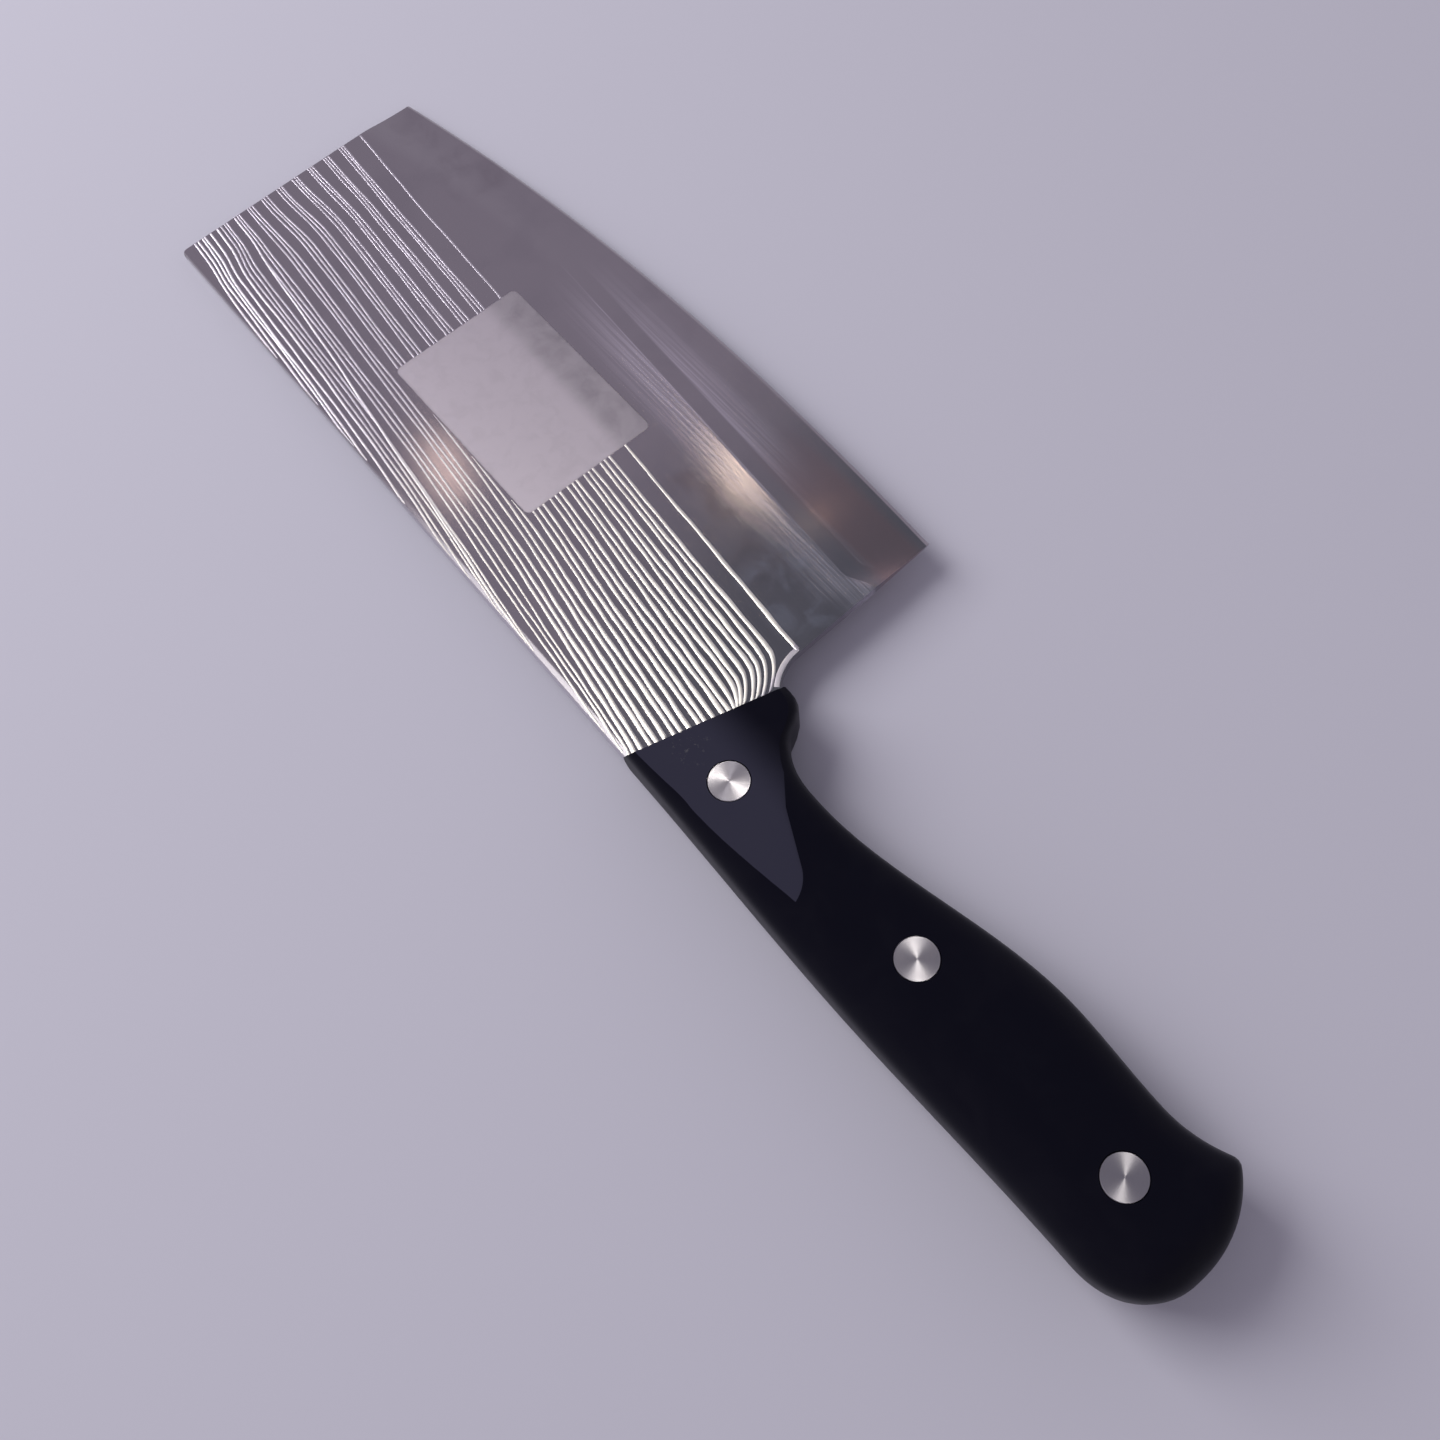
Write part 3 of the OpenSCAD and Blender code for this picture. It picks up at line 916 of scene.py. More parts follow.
@dataclass(frozen=True)
class BlackPlastic(Finish):
    """Black moulded plastic, a little scuffed in front of the first rivet."""

    tone: Colour = (0.005, 0.005, 0.01, 1.0)
    deep_tone: Colour = (0.005, 0.005, 0.01, 1.0)
    deep: Point = (13.0, 24.0)
    roughness: float = 0.35
    gloss: float = 0.07
    scuff_tone: Colour = (0.09, 0.09, 0.10, 1.0)
    scuffed: Window = Window((175.5, 10.0, 0.0), (3.5, 3.0, 20.0), 3.0)
    fleck_noise: Noise = Noise(1.1, 5.0, 0.7)
    fleck_range: Point = (0.57, 0.68)
    dust: Cloud = Cloud(0.12, 0.04)
    dust_share: float = 0.3
    pore_noise: Noise = Noise(6.0, 3.0)
    pore_depth: float = 0.12

    def make(self) -> Material:
        """Builds the material.

        Returns:
            The material.
        """
        wire = Surface(self)
        flecks = wire.ramp(wire.noise(wire.place, self.fleck_noise), *self.fleck_range)
        scuffs = wire.times(wire.field(self.scuffed), flecks)
        dust = wire.stains(self.dust)
        worn = wire.math("MAXIMUM", scuffs, wire.times(dust, self.dust_share))
        tone = wire.blend(wire.ramp(wire.y, *self.deep), self.tone, self.deep_tone)
        tone = wire.blend(worn, tone, self.scuff_tone)
        rough = wire.math("ADD", dust, self.roughness)
        normal = wire.bump(wire.noise(wire.place, self.pore_noise), self.pore_depth)
        looks = {"Base Color": tone, "Roughness": rough, "Normal": normal, "Specular IOR Level": self.gloss}
        return wire.finished(looks)


def dress(piece: Object, material: Material, slot: Slot, *nodes: str, crease: float = 30.0) -> None:
    """Finishes a piece: shades it, gives it its material, hangs it on the body and hides the CAD nodes that
    it replaces.

    Args:
        piece: The piece.
        material: Its material.
        slot: Its kind of material; every kind but plastic is lit by the glint lamps.
        nodes: The CAD nodes that it replaces.
        crease: Angle past which an edge stays sharp, in degrees.
    """
    pick(piece)
    bpy.ops.object.shade_smooth_by_angle(angle=math.radians(crease), keep_sharp_edges=True)
    piece.data.materials.clear()
    piece.data.materials.append(material)
    if slot is not Slot.PLASTIC:
        bpy.data.collections[LIT_STEEL].objects.link(piece)
    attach(piece, BODY)
    if nodes:
        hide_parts(*nodes)
    log.info("%s: %d faces", piece.name, len(piece.data.polygons))


@dataclass(frozen=True)
class Row:
    """One row of the blade's section: its distance from the spine, or from the cutting edge."""

    distance: float
    from_edge: bool = True


@dataclass
class Blade:
    """The blade: its outline, its hollow grind and the tang inside the handle."""

    length: float = 166.6
    depth: float = 76.6
    tip_rise: float = 11.7
    heel_rise: float = 1.3
    deepest_x: float = 120.0
    thickness: float = 2.2
    tip_lean: float = math.radians(1.15)
    tip_corner_radius: float = 1.2
    tip_corner_steps: int = 6
    spine_ease: float = 0.3
    grind_width: float = 17.5
    grind_share_tip: float = 0.7
    grind_share_heel: float = 1.035
    grind_late: Point = (45.0, 150.0)
    wheel_radius: float = 200.0
    shoulder_thickness: float = 0.44
    bevel_width: float = 0.7
    edge_thickness: float = 0.06
    heel_reach: float = 3.9
    heel_lean: float = math.radians(2.2)
    choil_y: float = 40.0
    choil_radius: float = 11.0
    front_lean: float = math.radians(15.6)
    seat_gap: float = 0.05
    ridge_soft_tip: float = 0.3
    ridge_soft_heel: float = 0.03
    ridge_late: Point = (20.0, 140.0)
    ridge_rows: tuple[float, ...] = (
        8.0, 5.5, 4.0, 2.8, 1.9, 1.2, 0.7, 0.35, 0.1, -0.15, -0.5, -1.0, -1.7, -2.6, -3.8, -5.4,
    )
    hollow_rows: tuple[float, ...] = (10.5, 8.5, 6.5, 4.5, 2.5)
    spine_rows: int = 2
    run_out: float = 2.2
    run_out_start: float = 164.5
    station_step: float = 4.0
    fine_step: float = 0.8
    overrun: float = 1.5
    crease: float = 12.0

    def __post_init__(self) -> None:
        """Works out the sizes that follow from the driving ones."""
        self.tip_reach = (self.depth - self.tip_rise) * math.tan(self.tip_lean)
        self.heel_x = self.length + self.heel_reach
        self.heel_depth = self.depth - self.heel_rise
        self.choil_x = self.heel_x + (self.heel_depth - self.choil_y) * math.tan(self.heel_lean)
        run = self.grind_width - self.bevel_width
        fall = (self.thickness - self.shoulder_thickness) / 2
        chord = math.hypot(run, fall)
        lift = math.sqrt(self.wheel_radius**2 - chord**2 / 4)
        self.wheel_in = self.bevel_width + run / 2 - lift * fall / chord
        self.wheel_up = (self.thickness + self.shoulder_thickness) / 4 + lift * run / chord
        self.knife = KnifeFrame.of_blade(self.tip_reach)

    def edge_y(self, x: float) -> float:
        """Gives the depth of the cutting edge.

        Args:
            x: Distance from the tip.

        Returns:
            Its distance from the spine.
        """
        ahead = x < self.deepest_x
        run = self.deepest_x + self.tip_reach if ahead else self.heel_x - self.deepest_x
        rise = self.tip_rise if ahead else self.heel_rise
        radius = (run * run + rise * rise) / (2 * rise)
        return self.depth - radius + math.sqrt(radius**2 - (x - self.deepest_x) ** 2)

    def grind_share(self, x: float) -> float:
        """Gives the width of the grind at a place as a share of its nominal width."""
        grown = smooth_step(*self.grind_late, x)
        return self.grind_share_tip + (self.grind_share_heel - self.grind_share_tip) * grown

    def rows(self) -> list[Row]:
        """Lists the section's rows from the spine to the edge.

        Returns:
            The rows.
        """
        ridge = [Row(self.grind_width + off) for off in self.ridge_rows]
        hollow = [Row(distance) for distance in (*self.hollow_rows, self.bevel_width, 0.0)]
        return [Row(0.0, False), Row(self.spine_ease, False), *ridge, *hollow]

    def half_thickness(self, row: Row, x: float) -> float:
        """Gives half the steel's thickness at a row.

        Args:
            row: The row.
            x: Distance from the tip.

        Returns:
            Half the thickness there.
        """
        flat = self.thickness / 2
        if not row.from_edge:
            return flat - self.spine_ease + min(row.distance, self.spine_ease)
        if row.distance == 0:
            return self.edge_thickness / 2
        late = max(0.0, x - self.run_out_start) / (self.heel_x - self.run_out_start)
        inward = row.distance - self.wheel_in + self.run_out * late * late
        hollow = self.wheel_up - math.sqrt(self.wheel_radius**2 - inward**2)
        grown = smooth_step(*self.ridge_late, x)
        soft = self.ridge_soft_tip + (self.ridge_soft_heel - self.ridge_soft_tip) * grown
        return soft_min(flat, hollow, soft)

    def first_section(self, x: float) -> Object:
        """Draws the section as a strip of faces, extruded row by row from a plane.

        Args:
            x: Where it stands.

        Returns:
            The strip.
        """
        rows = self.rows()
        ease = self.spine_ease * MM
        spot = self.knife.at(x, self.spine_ease / 2)
        bpy.ops.mesh.primitive_plane_add(size=ease, location=spot, rotation=(0, QUARTER_TURN, 0))
        strip = started("blade_body")
        middle = self.knife.at(x, 0)
        with editing(strip):
            for row in rows[: self.spine_rows]:
                place = self.knife.at(x, row.distance)
                choose(strip, Part.POINTS, lambda v: abs(v.co.y - place.y) < ease / 4)
                stretch((1, 1, self.half_thickness(row, x) / (self.spine_ease / 2)), middle)
            y, height = row.distance, self.half_thickness(row, x)
            for row in rows[self.spine_rows :]:
                new_y = self.edge_y(x) - row.distance * self.grind_share(x)
                new_height = self.half_thickness(row, x)
                extrude(Vector((0, new_y - y, 0)) * MM)
                stretch((1, 1, new_height / height), middle)
                y, height = new_y, new_height
        return strip

    def blank(self) -> Object:
        """Sweeps the section along the blade, station by station.

        Returns:
            The ground blank, still too long at both ends.
        """
        x = -self.tip_reach - self.overrun
        piece = self.first_section(x)
        rows = self.rows()
        last = self.choil_x + self.choil_radius
        with editing(piece):
            while x < last:
                step = self.station_step if x + self.station_step < self.run_out_start else self.fine_step
                self.next_section(piece, rows, x, x + step)
                x += step
            face_out()
        return piece

    def next_section(self, piece: Object, rows: list[Row], x: float, new_x: float) -> None:
        """Extrudes the selected section by one step and gives it the shape that it has there.

        Args:
            piece: The blank, open in edit mode with its last section selected.
            rows: The section's rows.
            x: Where the last section is.
            new_x: Where the new one goes.
        """
        extrude(Vector((new_x - x, 0, 0)) * MM)
        mesh = bmesh.from_edit_mesh(piece.data)
        section = sorted((v for v in mesh.verts if v.select), key=lambda v: v.co.y)
        pairs = [section[2 * k : 2 * k + 2] for k in range(len(rows))]
        fall = self.edge_y(new_x) - self.edge_y(x)
        for vert in section[: 2 * self.spine_rows]:
            vert.select_set(False)
        mesh.select_flush_mode()
        slide(Vector((0, fall, 0)) * MM)
        wider = self.grind_share(new_x) / self.grind_share(x)
        stretch((1, wider, 1), self.knife.at(new_x, self.edge_y(new_x)))
        middle = self.knife.at(new_x, 0)
        for row, pair in zip(rows, pairs):
            change = self.half_thickness(row, new_x) / self.half_thickness(row, x)
            if abs(change - 1) > NO_CHANGE:
                for vert in section:
                    vert.select_set(vert in pair)
                mesh.select_flush_mode()
                stretch((1, 1, change), middle)
        for vert in section:
            vert.select_set(True)
        mesh.select_flush_mode()

    def trim_ends(self, piece: Object) -> None:
        """Cuts the tip, its rounded corner, the heel and the front of the handle.

        Args:
            piece: The blank.
        """
        lean = Vector((-math.cos(self.tip_lean), -math.sin(self.tip_lean), 0))
        trim(piece, self.knife.at(0, 0), lean)
        corner = self.tip_corner_radius
        for step in range(1, self.tip_corner_steps):
            angle = QUARTER_TURN * step / self.tip_corner_steps
            outward = Vector((-math.cos(angle), -math.sin(angle), 0))
            trim(piece, self.knife.at(corner, corner) + outward * corner * MM, outward)
        seat = Vector((math.cos(self.front_lean), -math.sin(self.front_lean), 0))
        trim(piece, self.knife.at(self.length - self.seat_gap, 0), seat)
        for cutter in (self.heel_cutter(), self.choil_cutter()):
            work_in(piece, cutter, Cut.REMOVE)

    def heel_cutter(self) -> Object:
        """Makes the block behind the leaning edge of the heel, from a square stretched off its corner.

        Returns:
            The block.
        """
        tall = self.depth
        spot = self.knife.at(self.choil_x + 0.5, self.choil_y + 0.5, -THROUGH)
        bpy.ops.mesh.primitive_plane_add(size=MM, location=spot)
        block = started("heel_cutter")
        corner = self.knife.at(self.choil_x, self.choil_y)
        with editing(block):
            stretch((2 * self.choil_radius, tall, 1), corner)
            foot = corner + Vector((0, tall * MM, 0))
            choose(block, Part.POINTS, lambda v: v.co.y > foot.y - MM and v.co.x < foot.x + MM)
            slide(Vector((-tall * math.tan(self.heel_lean), 0, 0)) * MM)
            raise_solid(2 * THROUGH)
        return block

    def choil_cutter(self) -> Object:
        """Makes the round bar that cuts the hollow in front of the handle."""
        low = self.knife.at(self.choil_x + self.choil_radius, self.choil_y, -THROUGH)
        return round_bar("choil_cutter", self.choil_radius, low, 2 * THROUGH, HEAD_SIDES)

    def build(self, handle: "Handle") -> Object:
        """Models the blade.

        Args:
            handle: The handle, which says where the tang goes.

        Returns:
            The blade with its tang.
        """
        piece = self.blank()
        self.trim_ends(piece)
        work_in(piece, handle.tang(0.0), Cut.ADD)
        hole = handle.barrel_radius + handle.tang_hole_gap
        for spot in handle.rivets:
            bar = round_bar("tang_hole", hole, self.knife.at(*spot, -THROUGH), 2 * THROUGH, BORE_SIDES)
            work_in(piece, bar, Cut.REMOVE)
        tidy(piece)
        return piece

    def add(self, handle: "Handle", effects: Effects) -> None:
        """Models the blade and dresses it."""
        steel = BladeSteel(self.knife, effects, "blade_satin").make()
        dress(self.build(handle), steel, Slot.STEEL, "blade", crease=self.crease)


@dataclass
class Handle:
    """The two scales of the handle, lofted from sections."""

    knife: KnifeFrame
    front: float = 166.6
    length: float = 133.4
    front_lean: float = math.radians(15.6)
    front_rake: float = math.radians(22)
    guard_depth: float = 32.1
    guard_x: float = 18.0
    neck_depth: float = 21.7
    neck_x: float = 32.9
    neck_foot: float = 0.195
    neck_depths: Point = (0.54, 0.25)
    neck_slopes: Point = (-2.2, -0.68)
    swell_depth: float = 30.6
    swell_back: float = 44.5
    waist_depth: float = 29.6
    waist_back: float = 22.5
    hook_rise: float = 10.3
    hook_round: float = 1.6
    butt_radius: float = 23.5
    butt_y: float = 14.6
    butt_corner: float = 15.0
    butt_steps: int = 28
    spine_bow: float = 0.8
    spine_drop: float = 0.8
    front_thickness: float = 16.2
    neck_thickness: float = 16.0
    swell_thickness: float = 18.6
    butt_thickness: float = 18.2
    butt_round: float = 8.0
    front_power: float = 5.0
    neck_power: float = 4.0
    grip_power: float = 3.2
    round_power: float = 2.2
    facet_thickness: float = 13.2
    facet_slope: float = math.radians(1.8)
    facet_length: float = 44.9
    facet_end_radius: float = 8.0
    facet_end_y: float = 3.0
    facet_end_sides: int = 360
    facet_line: float = math.radians(26.6)
    facet_knee_x: float = 29.9
    facet_rise: float = math.radians(37.5)
    facet_guard_x: float = 20.0
    facet_slack: float = 0.001
    facet_near: float = 1e-7
    facet_least: float = 1e-6
    head_radius: float = 4.15
    head_thickness: float = 1.8
    barrel_radius: float = 2.5
    rivet_front: Point = (19.0, 11.0)
    rivet_middle_share: float = 0.496
    rivet_middle_y: float = 14.3
    rivet_rear_back: float = 19.4
    rivet_rear_y: float = 15.3
    rivet_gap: float = 0.04
    tang_hole_gap: float = 0.1
    tang_width: float = 13.0
    tang_thickness: float = 2.0
    blade_face: float = 1.1
    tang_tail: float = 8.0
    tang_lead: float = 1.5
    tang_round: float = 0.999
    tang_segments: int = 10
    tang_gap: float = 0.05
    overrun: float = 1.0
    station_step: float = 1.3
    section_steps: int = 48
    # Painted sheen: the facet's lighter tone stands in for the light that its flat face mirrors; it is a
    # little rougher too.
    facet_sheen_tone: Colour = (0.036, 0.036, 0.056, 1.0)
    facet_sheen_roughness: float = 0.38

    def __post_init__(self) -> None:
        """Works out the knots of the curves and the places of the rivets."""
        swell_x = self.length - self.swell_back
        waist_x = self.length - self.waist_back
        drop = self.guard_depth - self.neck_depth
        nose = self.guard_depth * math.tan(self.front_lean) + self.hook_round
        foot = self.guard_x + (self.neck_x - self.guard_x) * self.neck_foot
        self.belly_knots = [
            Knot(0, self.guard_depth),
            Knot(nose, self.guard_depth),
            Knot(self.guard_x, self.neck_depth + drop * self.neck_depths[0], self.neck_slopes[0]),
            Knot(foot, self.neck_depth + drop * self.neck_depths[1], self.neck_slopes[1]),
            Knot(self.neck_x, self.neck_depth),
            Knot(swell_x, self.swell_depth),
            Knot(waist_x, self.waist_depth),
            Knot(self.length, self.waist_depth + self.hook_rise, 2 * self.hook_rise / self.waist_back),
        ]
        straight = self.length - self.butt_corner
        self.spine_knots = [Knot(0, 0), Knot(straight / 2, -self.spine_bow), Knot(straight, self.spine_drop)]
        self.thickness_knots = [
            Knot(0, self.front_thickness / 2),
            Knot(self.neck_x, self.neck_thickness / 2),
            Knot(swell_x, self.swell_thickness / 2),
            Knot(self.length - self.butt_round, self.butt_thickness / 2),
        ]
        self.power_knots = [
            Knot(0, self.front_power),
            Knot(self.neck_x, self.neck_power),
            Knot(swell_x, self.grip_power),
        ]
        first, last = self.rivet_front[0], self.length - self.rivet_rear_back
        self.rivets = [
            (self.front + first, self.rivet_front[1]),
            (self.front + first + (last - first) * self.rivet_middle_share, self.rivet_middle_y),
            (self.front + last, self.rivet_rear_y),
        ]

    def belly(self, x: float) -> float:
        """Gives the depth of the finger side at a distance behind the handle's front."""
        past = max(0.0, x - self.length + self.butt_radius)
        butt = self.butt_y + math.sqrt(max(0.0, self.butt_radius**2 - past**2))
        return soft_min(along(self.belly_knots, x), butt, self.hook_round)

    def spine(self, x: float) -> float:
        """Gives the depth of the spine side at a distance behind the handle's front."""
        corner = quarter((x - self.length + self.butt_corner) / self.butt_corner, self.round_power)
        return self.butt_y - (self.butt_y - along(self.spine_knots, x)) * corner

    def half_thickness(self, x: float) -> float:
        """Gives half the thickness of the whole handle at a distance behind its front."""
        end = quarter((x - self.length + self.butt_round) / self.butt_round, self.round_power)
        return along(self.thickness_knots, x) * end

    def crown(self, x: float, y: float) -> float:
        """Gives the height of the grip's surface over the middle plane.

        Args:
            x: Distance behind the handle's front.
            y: Depth.

        Returns:
            The height there.
        """
        low, high = self.spine(x), self.belly(x)
        off_middle = abs(y - (low + high) / 2) / ((high - low) / 2)
        return self.half_thickness(x) * quarter(off_middle, along(self.power_knots, x))

    def facet_height(self, x: float) -> float:
        """Gives the height of the facet's plane at a distance behind the handle's front."""
        return self.facet_thickness / 2 + x * math.tan(self.facet_slope)

    def head_tops(self) -> list[float]:
        """Gives the height of each rivet head's outer face."""
        places = [(x - self.front, y) for x, y in self.rivets]
        return [self.facet_height(places[0][0]), self.crown(*places[1]), self.crown(*places[2])]

    def stations(self) -> list[float]:
        """Lists the places of the sections, closer together round the butt.

        Returns:
            Distances behind the handle's front.
        """
        straight = self.length - self.butt_corner
        count = math.ceil((straight + self.overrun) / self.station_step)
        even = [(straight + self.overrun) * k / count - self.overrun for k in range(count + 1)]
        turns = [QUARTER_TURN * k / self.butt_steps for k in range(1, self.butt_steps)]
        return even + [straight + self.butt_corner * math.sin(turn) for turn in turns]

    def section(self, x: float) -> tuple[float, float, float]:
        """Gives the middle, half depth and half thickness of a section."""
        low, high = self.spine(x), self.belly(x)
        return (low + high) / 2, (high - low) / 2, self.half_thickness(x)

    def first_section(self, x: float) -> Object:
        """Draws half a section: a disc squared off pair by pair, with its lower half cut away.

        Args:
            x: Distance behind the handle's front.

        Returns:
            The half section.
        """
        middle, half_depth, half_thickness = self.section(x)
        centre = self.knife.at(self.front + x, middle)
        sides = 2 * self.section_steps
        piece = disc("scale_right_body", sides, 1, centre, (0, QUARTER_TURN, 0), filled=False)
        with editing(piece):
            choose(piece, Part.POINTS, lambda v: v.co.z < centre.z - MM / sides)
            bpy.ops.mesh.delete(type="VERT")
            for step in range(1, self.section_steps // 2):
                angle = math.pi * step / self.section_steps
                rise = math.sin(angle) * MM
                choose(piece, Part.POINTS, lambda v: abs(v.co.z - centre.z - rise) < MM / sides**2)
                power = 2 / along(self.power_knots, x) - 1
                stretch((1, math.cos(angle) ** power, math.sin(angle) ** power), centre)
            bpy.ops.mesh.select_all(action="SELECT")
            bpy.ops.mesh.edge_face_add()
            stretch((1, half_depth, half_thickness), centre)
        return piece

    def square_up(self, piece: Object, centre: Vector, x: float, new_x: float) -> None:
        """Changes the squareness of the selected section from what it was one station before.

        Args:
            piece: The scale, open in edit mode with its last section selected.
            centre: Middle of that section.
            x: Where the section before it is.
            new_x: Where it is.
        """
        change = 2 / along(self.power_knots, new_x) - 2 / along(self.power_knots, x)
        if abs(change) < NO_CHANGE:
            return
        mesh = bmesh.from_edit_mesh(piece.data)
        section = sorted((v for v in mesh.verts if v.select), key=lambda v: v.co.y)
        face = next(f for f in mesh.faces if f.select)
        pairs = zip(section[1 : len(section) // 2], reversed(section[len(section) // 2 + 1 : -1]))
        for step, pair in enumerate(pairs, 1):
            angle = math.pi * step / self.section_steps
            for vert in section:
                vert.select_set(vert in pair)
            mesh.select_flush_mode()
            stretch((1, math.cos(angle) ** change, math.sin(angle) ** change), centre)
        face.select_set(True)
        mesh.select_flush_mode()

    def loft(self) -> Object:
        """Lofts the right scale through all the sections, from the front to the butt.

        Returns:
            The scale before anything is cut.
        """
        places = self.stations()
        piece = self.first_section(places[0])
        with editing(piece, Part.FACES):
            for x, new_x in zip(places, places[1:]):
                old, new = self.section(x), self.section(new_x)
                extrude(Vector((new_x - x, new[0] - old[0], 0)) * MM)
                centre = self.knife.at(self.front + new_x, new[0])
                stretch((1, new[1] / old[1], new[2] / old[2]), centre)
                self.square_up(piece, centre, x, new_x)
            extrude(Vector((self.length - places[-1], self.butt_y - new[0], 0)) * MM)
            bpy.ops.mesh.merge(type="CENTER")
            face_out()
        return piece

    def facet_cutter(self) -> Object:
        """Makes the solid that cuts the facet: its round end with straight runs to the front.

        Returns:
            The cutter.
        """
        end = self.knife.at(self.front + self.facet_length - self.facet_end_radius, self.facet_end_y)
        radius = self.facet_end_radius * MM
        cutter = disc("facet_cutter", self.facet_end_sides, self.facet_end_radius, end, filled=False)
        reach = 2 * self.guard_depth * MM
        turn = QUARTER_TURN - self.facet_line
        touch = end + radius * Vector((math.cos(turn), math.sin(turn), 0))
        side = 4 * QUARTER_TURN * radius / self.facet_end_sides

        def off_arc(vert: bmesh.types.BMVert) -> bool:
            """Tells whether a point of the circle isn't on the facet's end."""
            angle = math.atan2(vert.co.y - end.y, vert.co.x - end.x)
            return angle < -self.facet_slack or angle > turn + self.facet_slack

        with editing(cutter):
            choose(cutter, Part.POINTS, off_arc)
            bpy.ops.mesh.delete(type="VERT")
            choose(cutter, Part.POINTS, lambda v: v.co.y < end.y + radius * self.facet_slack)
            extrude(Vector((0, -reach, 0)))
            extrude(Vector((-reach, 0, 0)))
            choose(cutter, Part.POINTS, lambda v: (v.co - touch).length < side)
            knee_run = touch.x - self.knife.at(self.front + self.facet_knee_x, 0).x
            turn_run = (self.facet_knee_x - self.facet_guard_x) * MM
            extrude(Vector((-knee_run, knee_run * math.tan(self.facet_line), 0)))
            extrude(Vector((-turn_run, turn_run * math.tan(self.facet_rise), 0)))
            extrude(Vector((0, reach, 0)))
            extrude(Vector((-reach, 0, 0)))
            bpy.ops.mesh.select_all(action="SELECT")
            bpy.ops.mesh.edge_face_add()
            raise_solid(2 * self.swell_thickness)
        down = Vector((math.sin(self.facet_slope), 0, -math.cos(self.facet_slope)))
        trim(cutter, self.knife.at(self.front, 0, self.facet_thickness / 2), down)
        return cutter

    def tang(self, gap: float) -> Object:
        """Makes the strap of the tang, or with a gap the pocket that it lies in.

        Args:
            gap: What is added all round it.

        Returns:
            The strap.
        """
        first, last = Vector(self.rivets[0]), Vector(self.rivets[2])
        run = (last - first).normalized()
        start = first - run * self.rivet_front[0] * self.tang_lead
        end = last + run * (self.tang_tail + gap)
        half = self.tang_width / 2 + gap
        height = self.tang_thickness + 2 * gap
        middle = (start + end) / 2
        bpy.ops.mesh.primitive_plane_add(
            size=MM,
            location=self.knife.at(middle.x, middle.y, -height / 2),
            rotation=(0, 0, math.atan2(run.y, run.x)),
        )
        strap = bpy.context.object
        strap.scale = ((end - start).length, 2 * half, 1)
        strap = started("tang")
        limit = self.knife.at(middle.x, 0).x
        with editing(strap):
            choose(strap, Part.POINTS, lambda v: v.co.x > limit)
            offset = half * self.tang_round * MM
            bpy.ops.mesh.bevel(offset=offset, segments=self.tang_segments, affect="VERTICES")
            raise_solid(height)
        return strap

    def on_facet(self, face: bmesh.types.BMFace) -> bool:
        """Tells whether a face of either scale is the facet.

        Args:
            face: The face.

        Returns:
            Whether it lies in the facet's plane and is no sliver.
        """
        normal = Vector((-math.sin(self.facet_slope), 0, math.cos(self.facet_slope)))
        outward = Vector((*face.normal[:2], abs(face.normal.z)))
        return outward.dot(normal) > 1 - self.facet_near and face.calc_area() > self.facet_least

    def mark_facet(self, piece: Object) -> None:
        """Keeps the border of the facet and the rims of the rivet seats crisp."""
        with editing(piece, Part.FACES):
            choose(piece, Part.FACES, self.on_facet)
            bpy.ops.mesh.region_to_loop()
            bpy.ops.mesh.mark_sharp()

    def dress_facet(self, piece: Object, material: Material) -> None:
        """Gives the facet of a dressed scale its own material, whose lighter tone is a painted sheen.

        Args:
            piece: The scale.
            material: The facet's material, with its painted sheen.
        """
        piece.data.materials.append(material)
        with editing(piece, Part.FACES):
            choose(piece, Part.FACES, self.on_facet)
            piece.active_material_index = 1
            bpy.ops.object.material_slot_assign()

    def build(self) -> list[Object]:
        """Models both scales.

        Returns:
            The right scale and the left one.
        """
        piece = self.loft()
        lean = Vector((-math.cos(self.front_lean), math.sin(self.front_lean), 0))
        trim(piece, self.knife.at(self.front, 0), lean)
        raked = lean * math.cos(self.front_rake) + Vector((0, 0, math.sin(self.front_rake)))
        trim(piece, self.knife.at(self.front, 0, self.blade_face), raked)
        work_in(piece, self.facet_cutter(), Cut.REMOVE)
        work_in(piece, self.tang(self.tang_gap), Cut.REMOVE)
        for spot, top in zip(self.rivets, self.head_tops()):
            low = self.knife.at(*spot, top - self.head_thickness)
            seat = round_bar("seat", self.head_radius + self.rivet_gap, low, 2 * THROUGH, HEAD_SIDES)
            work_in(piece, seat, Cut.REMOVE)
            low = self.knife.at(*spot, -THROUGH)
            bore = round_bar("bore", self.barrel_radius + self.rivet_gap, low, 4 * THROUGH, BORE_SIDES)
            work_in(piece, bore, Cut.REMOVE)
        tidy(piece)
        self.mark_facet(piece)
        return [piece, mirrored(piece, "scale_left_body", self.knife.at(0, 0))]

    def add(self, effects: Effects) -> None:
        """Models both scales and dresses them.

        Args:
            effects: The shared effects.
        """
        plastic = BlackPlastic(self.knife, effects, "black_plastic").make()
        # The facet's material, lighter as a painted sheen.
        painted_sheen = BlackPlastic(
            self.knife, effects, "rubbed_plastic", self.facet_sheen_tone, roughness=self.facet_sheen_roughness
        ).make()
        for scale, node in zip(self.build(), ("scale_right", "scale_left")):
            dress(scale, plastic, Slot.PLASTIC, node)
            self.dress_facet(scale, painted_sheen)


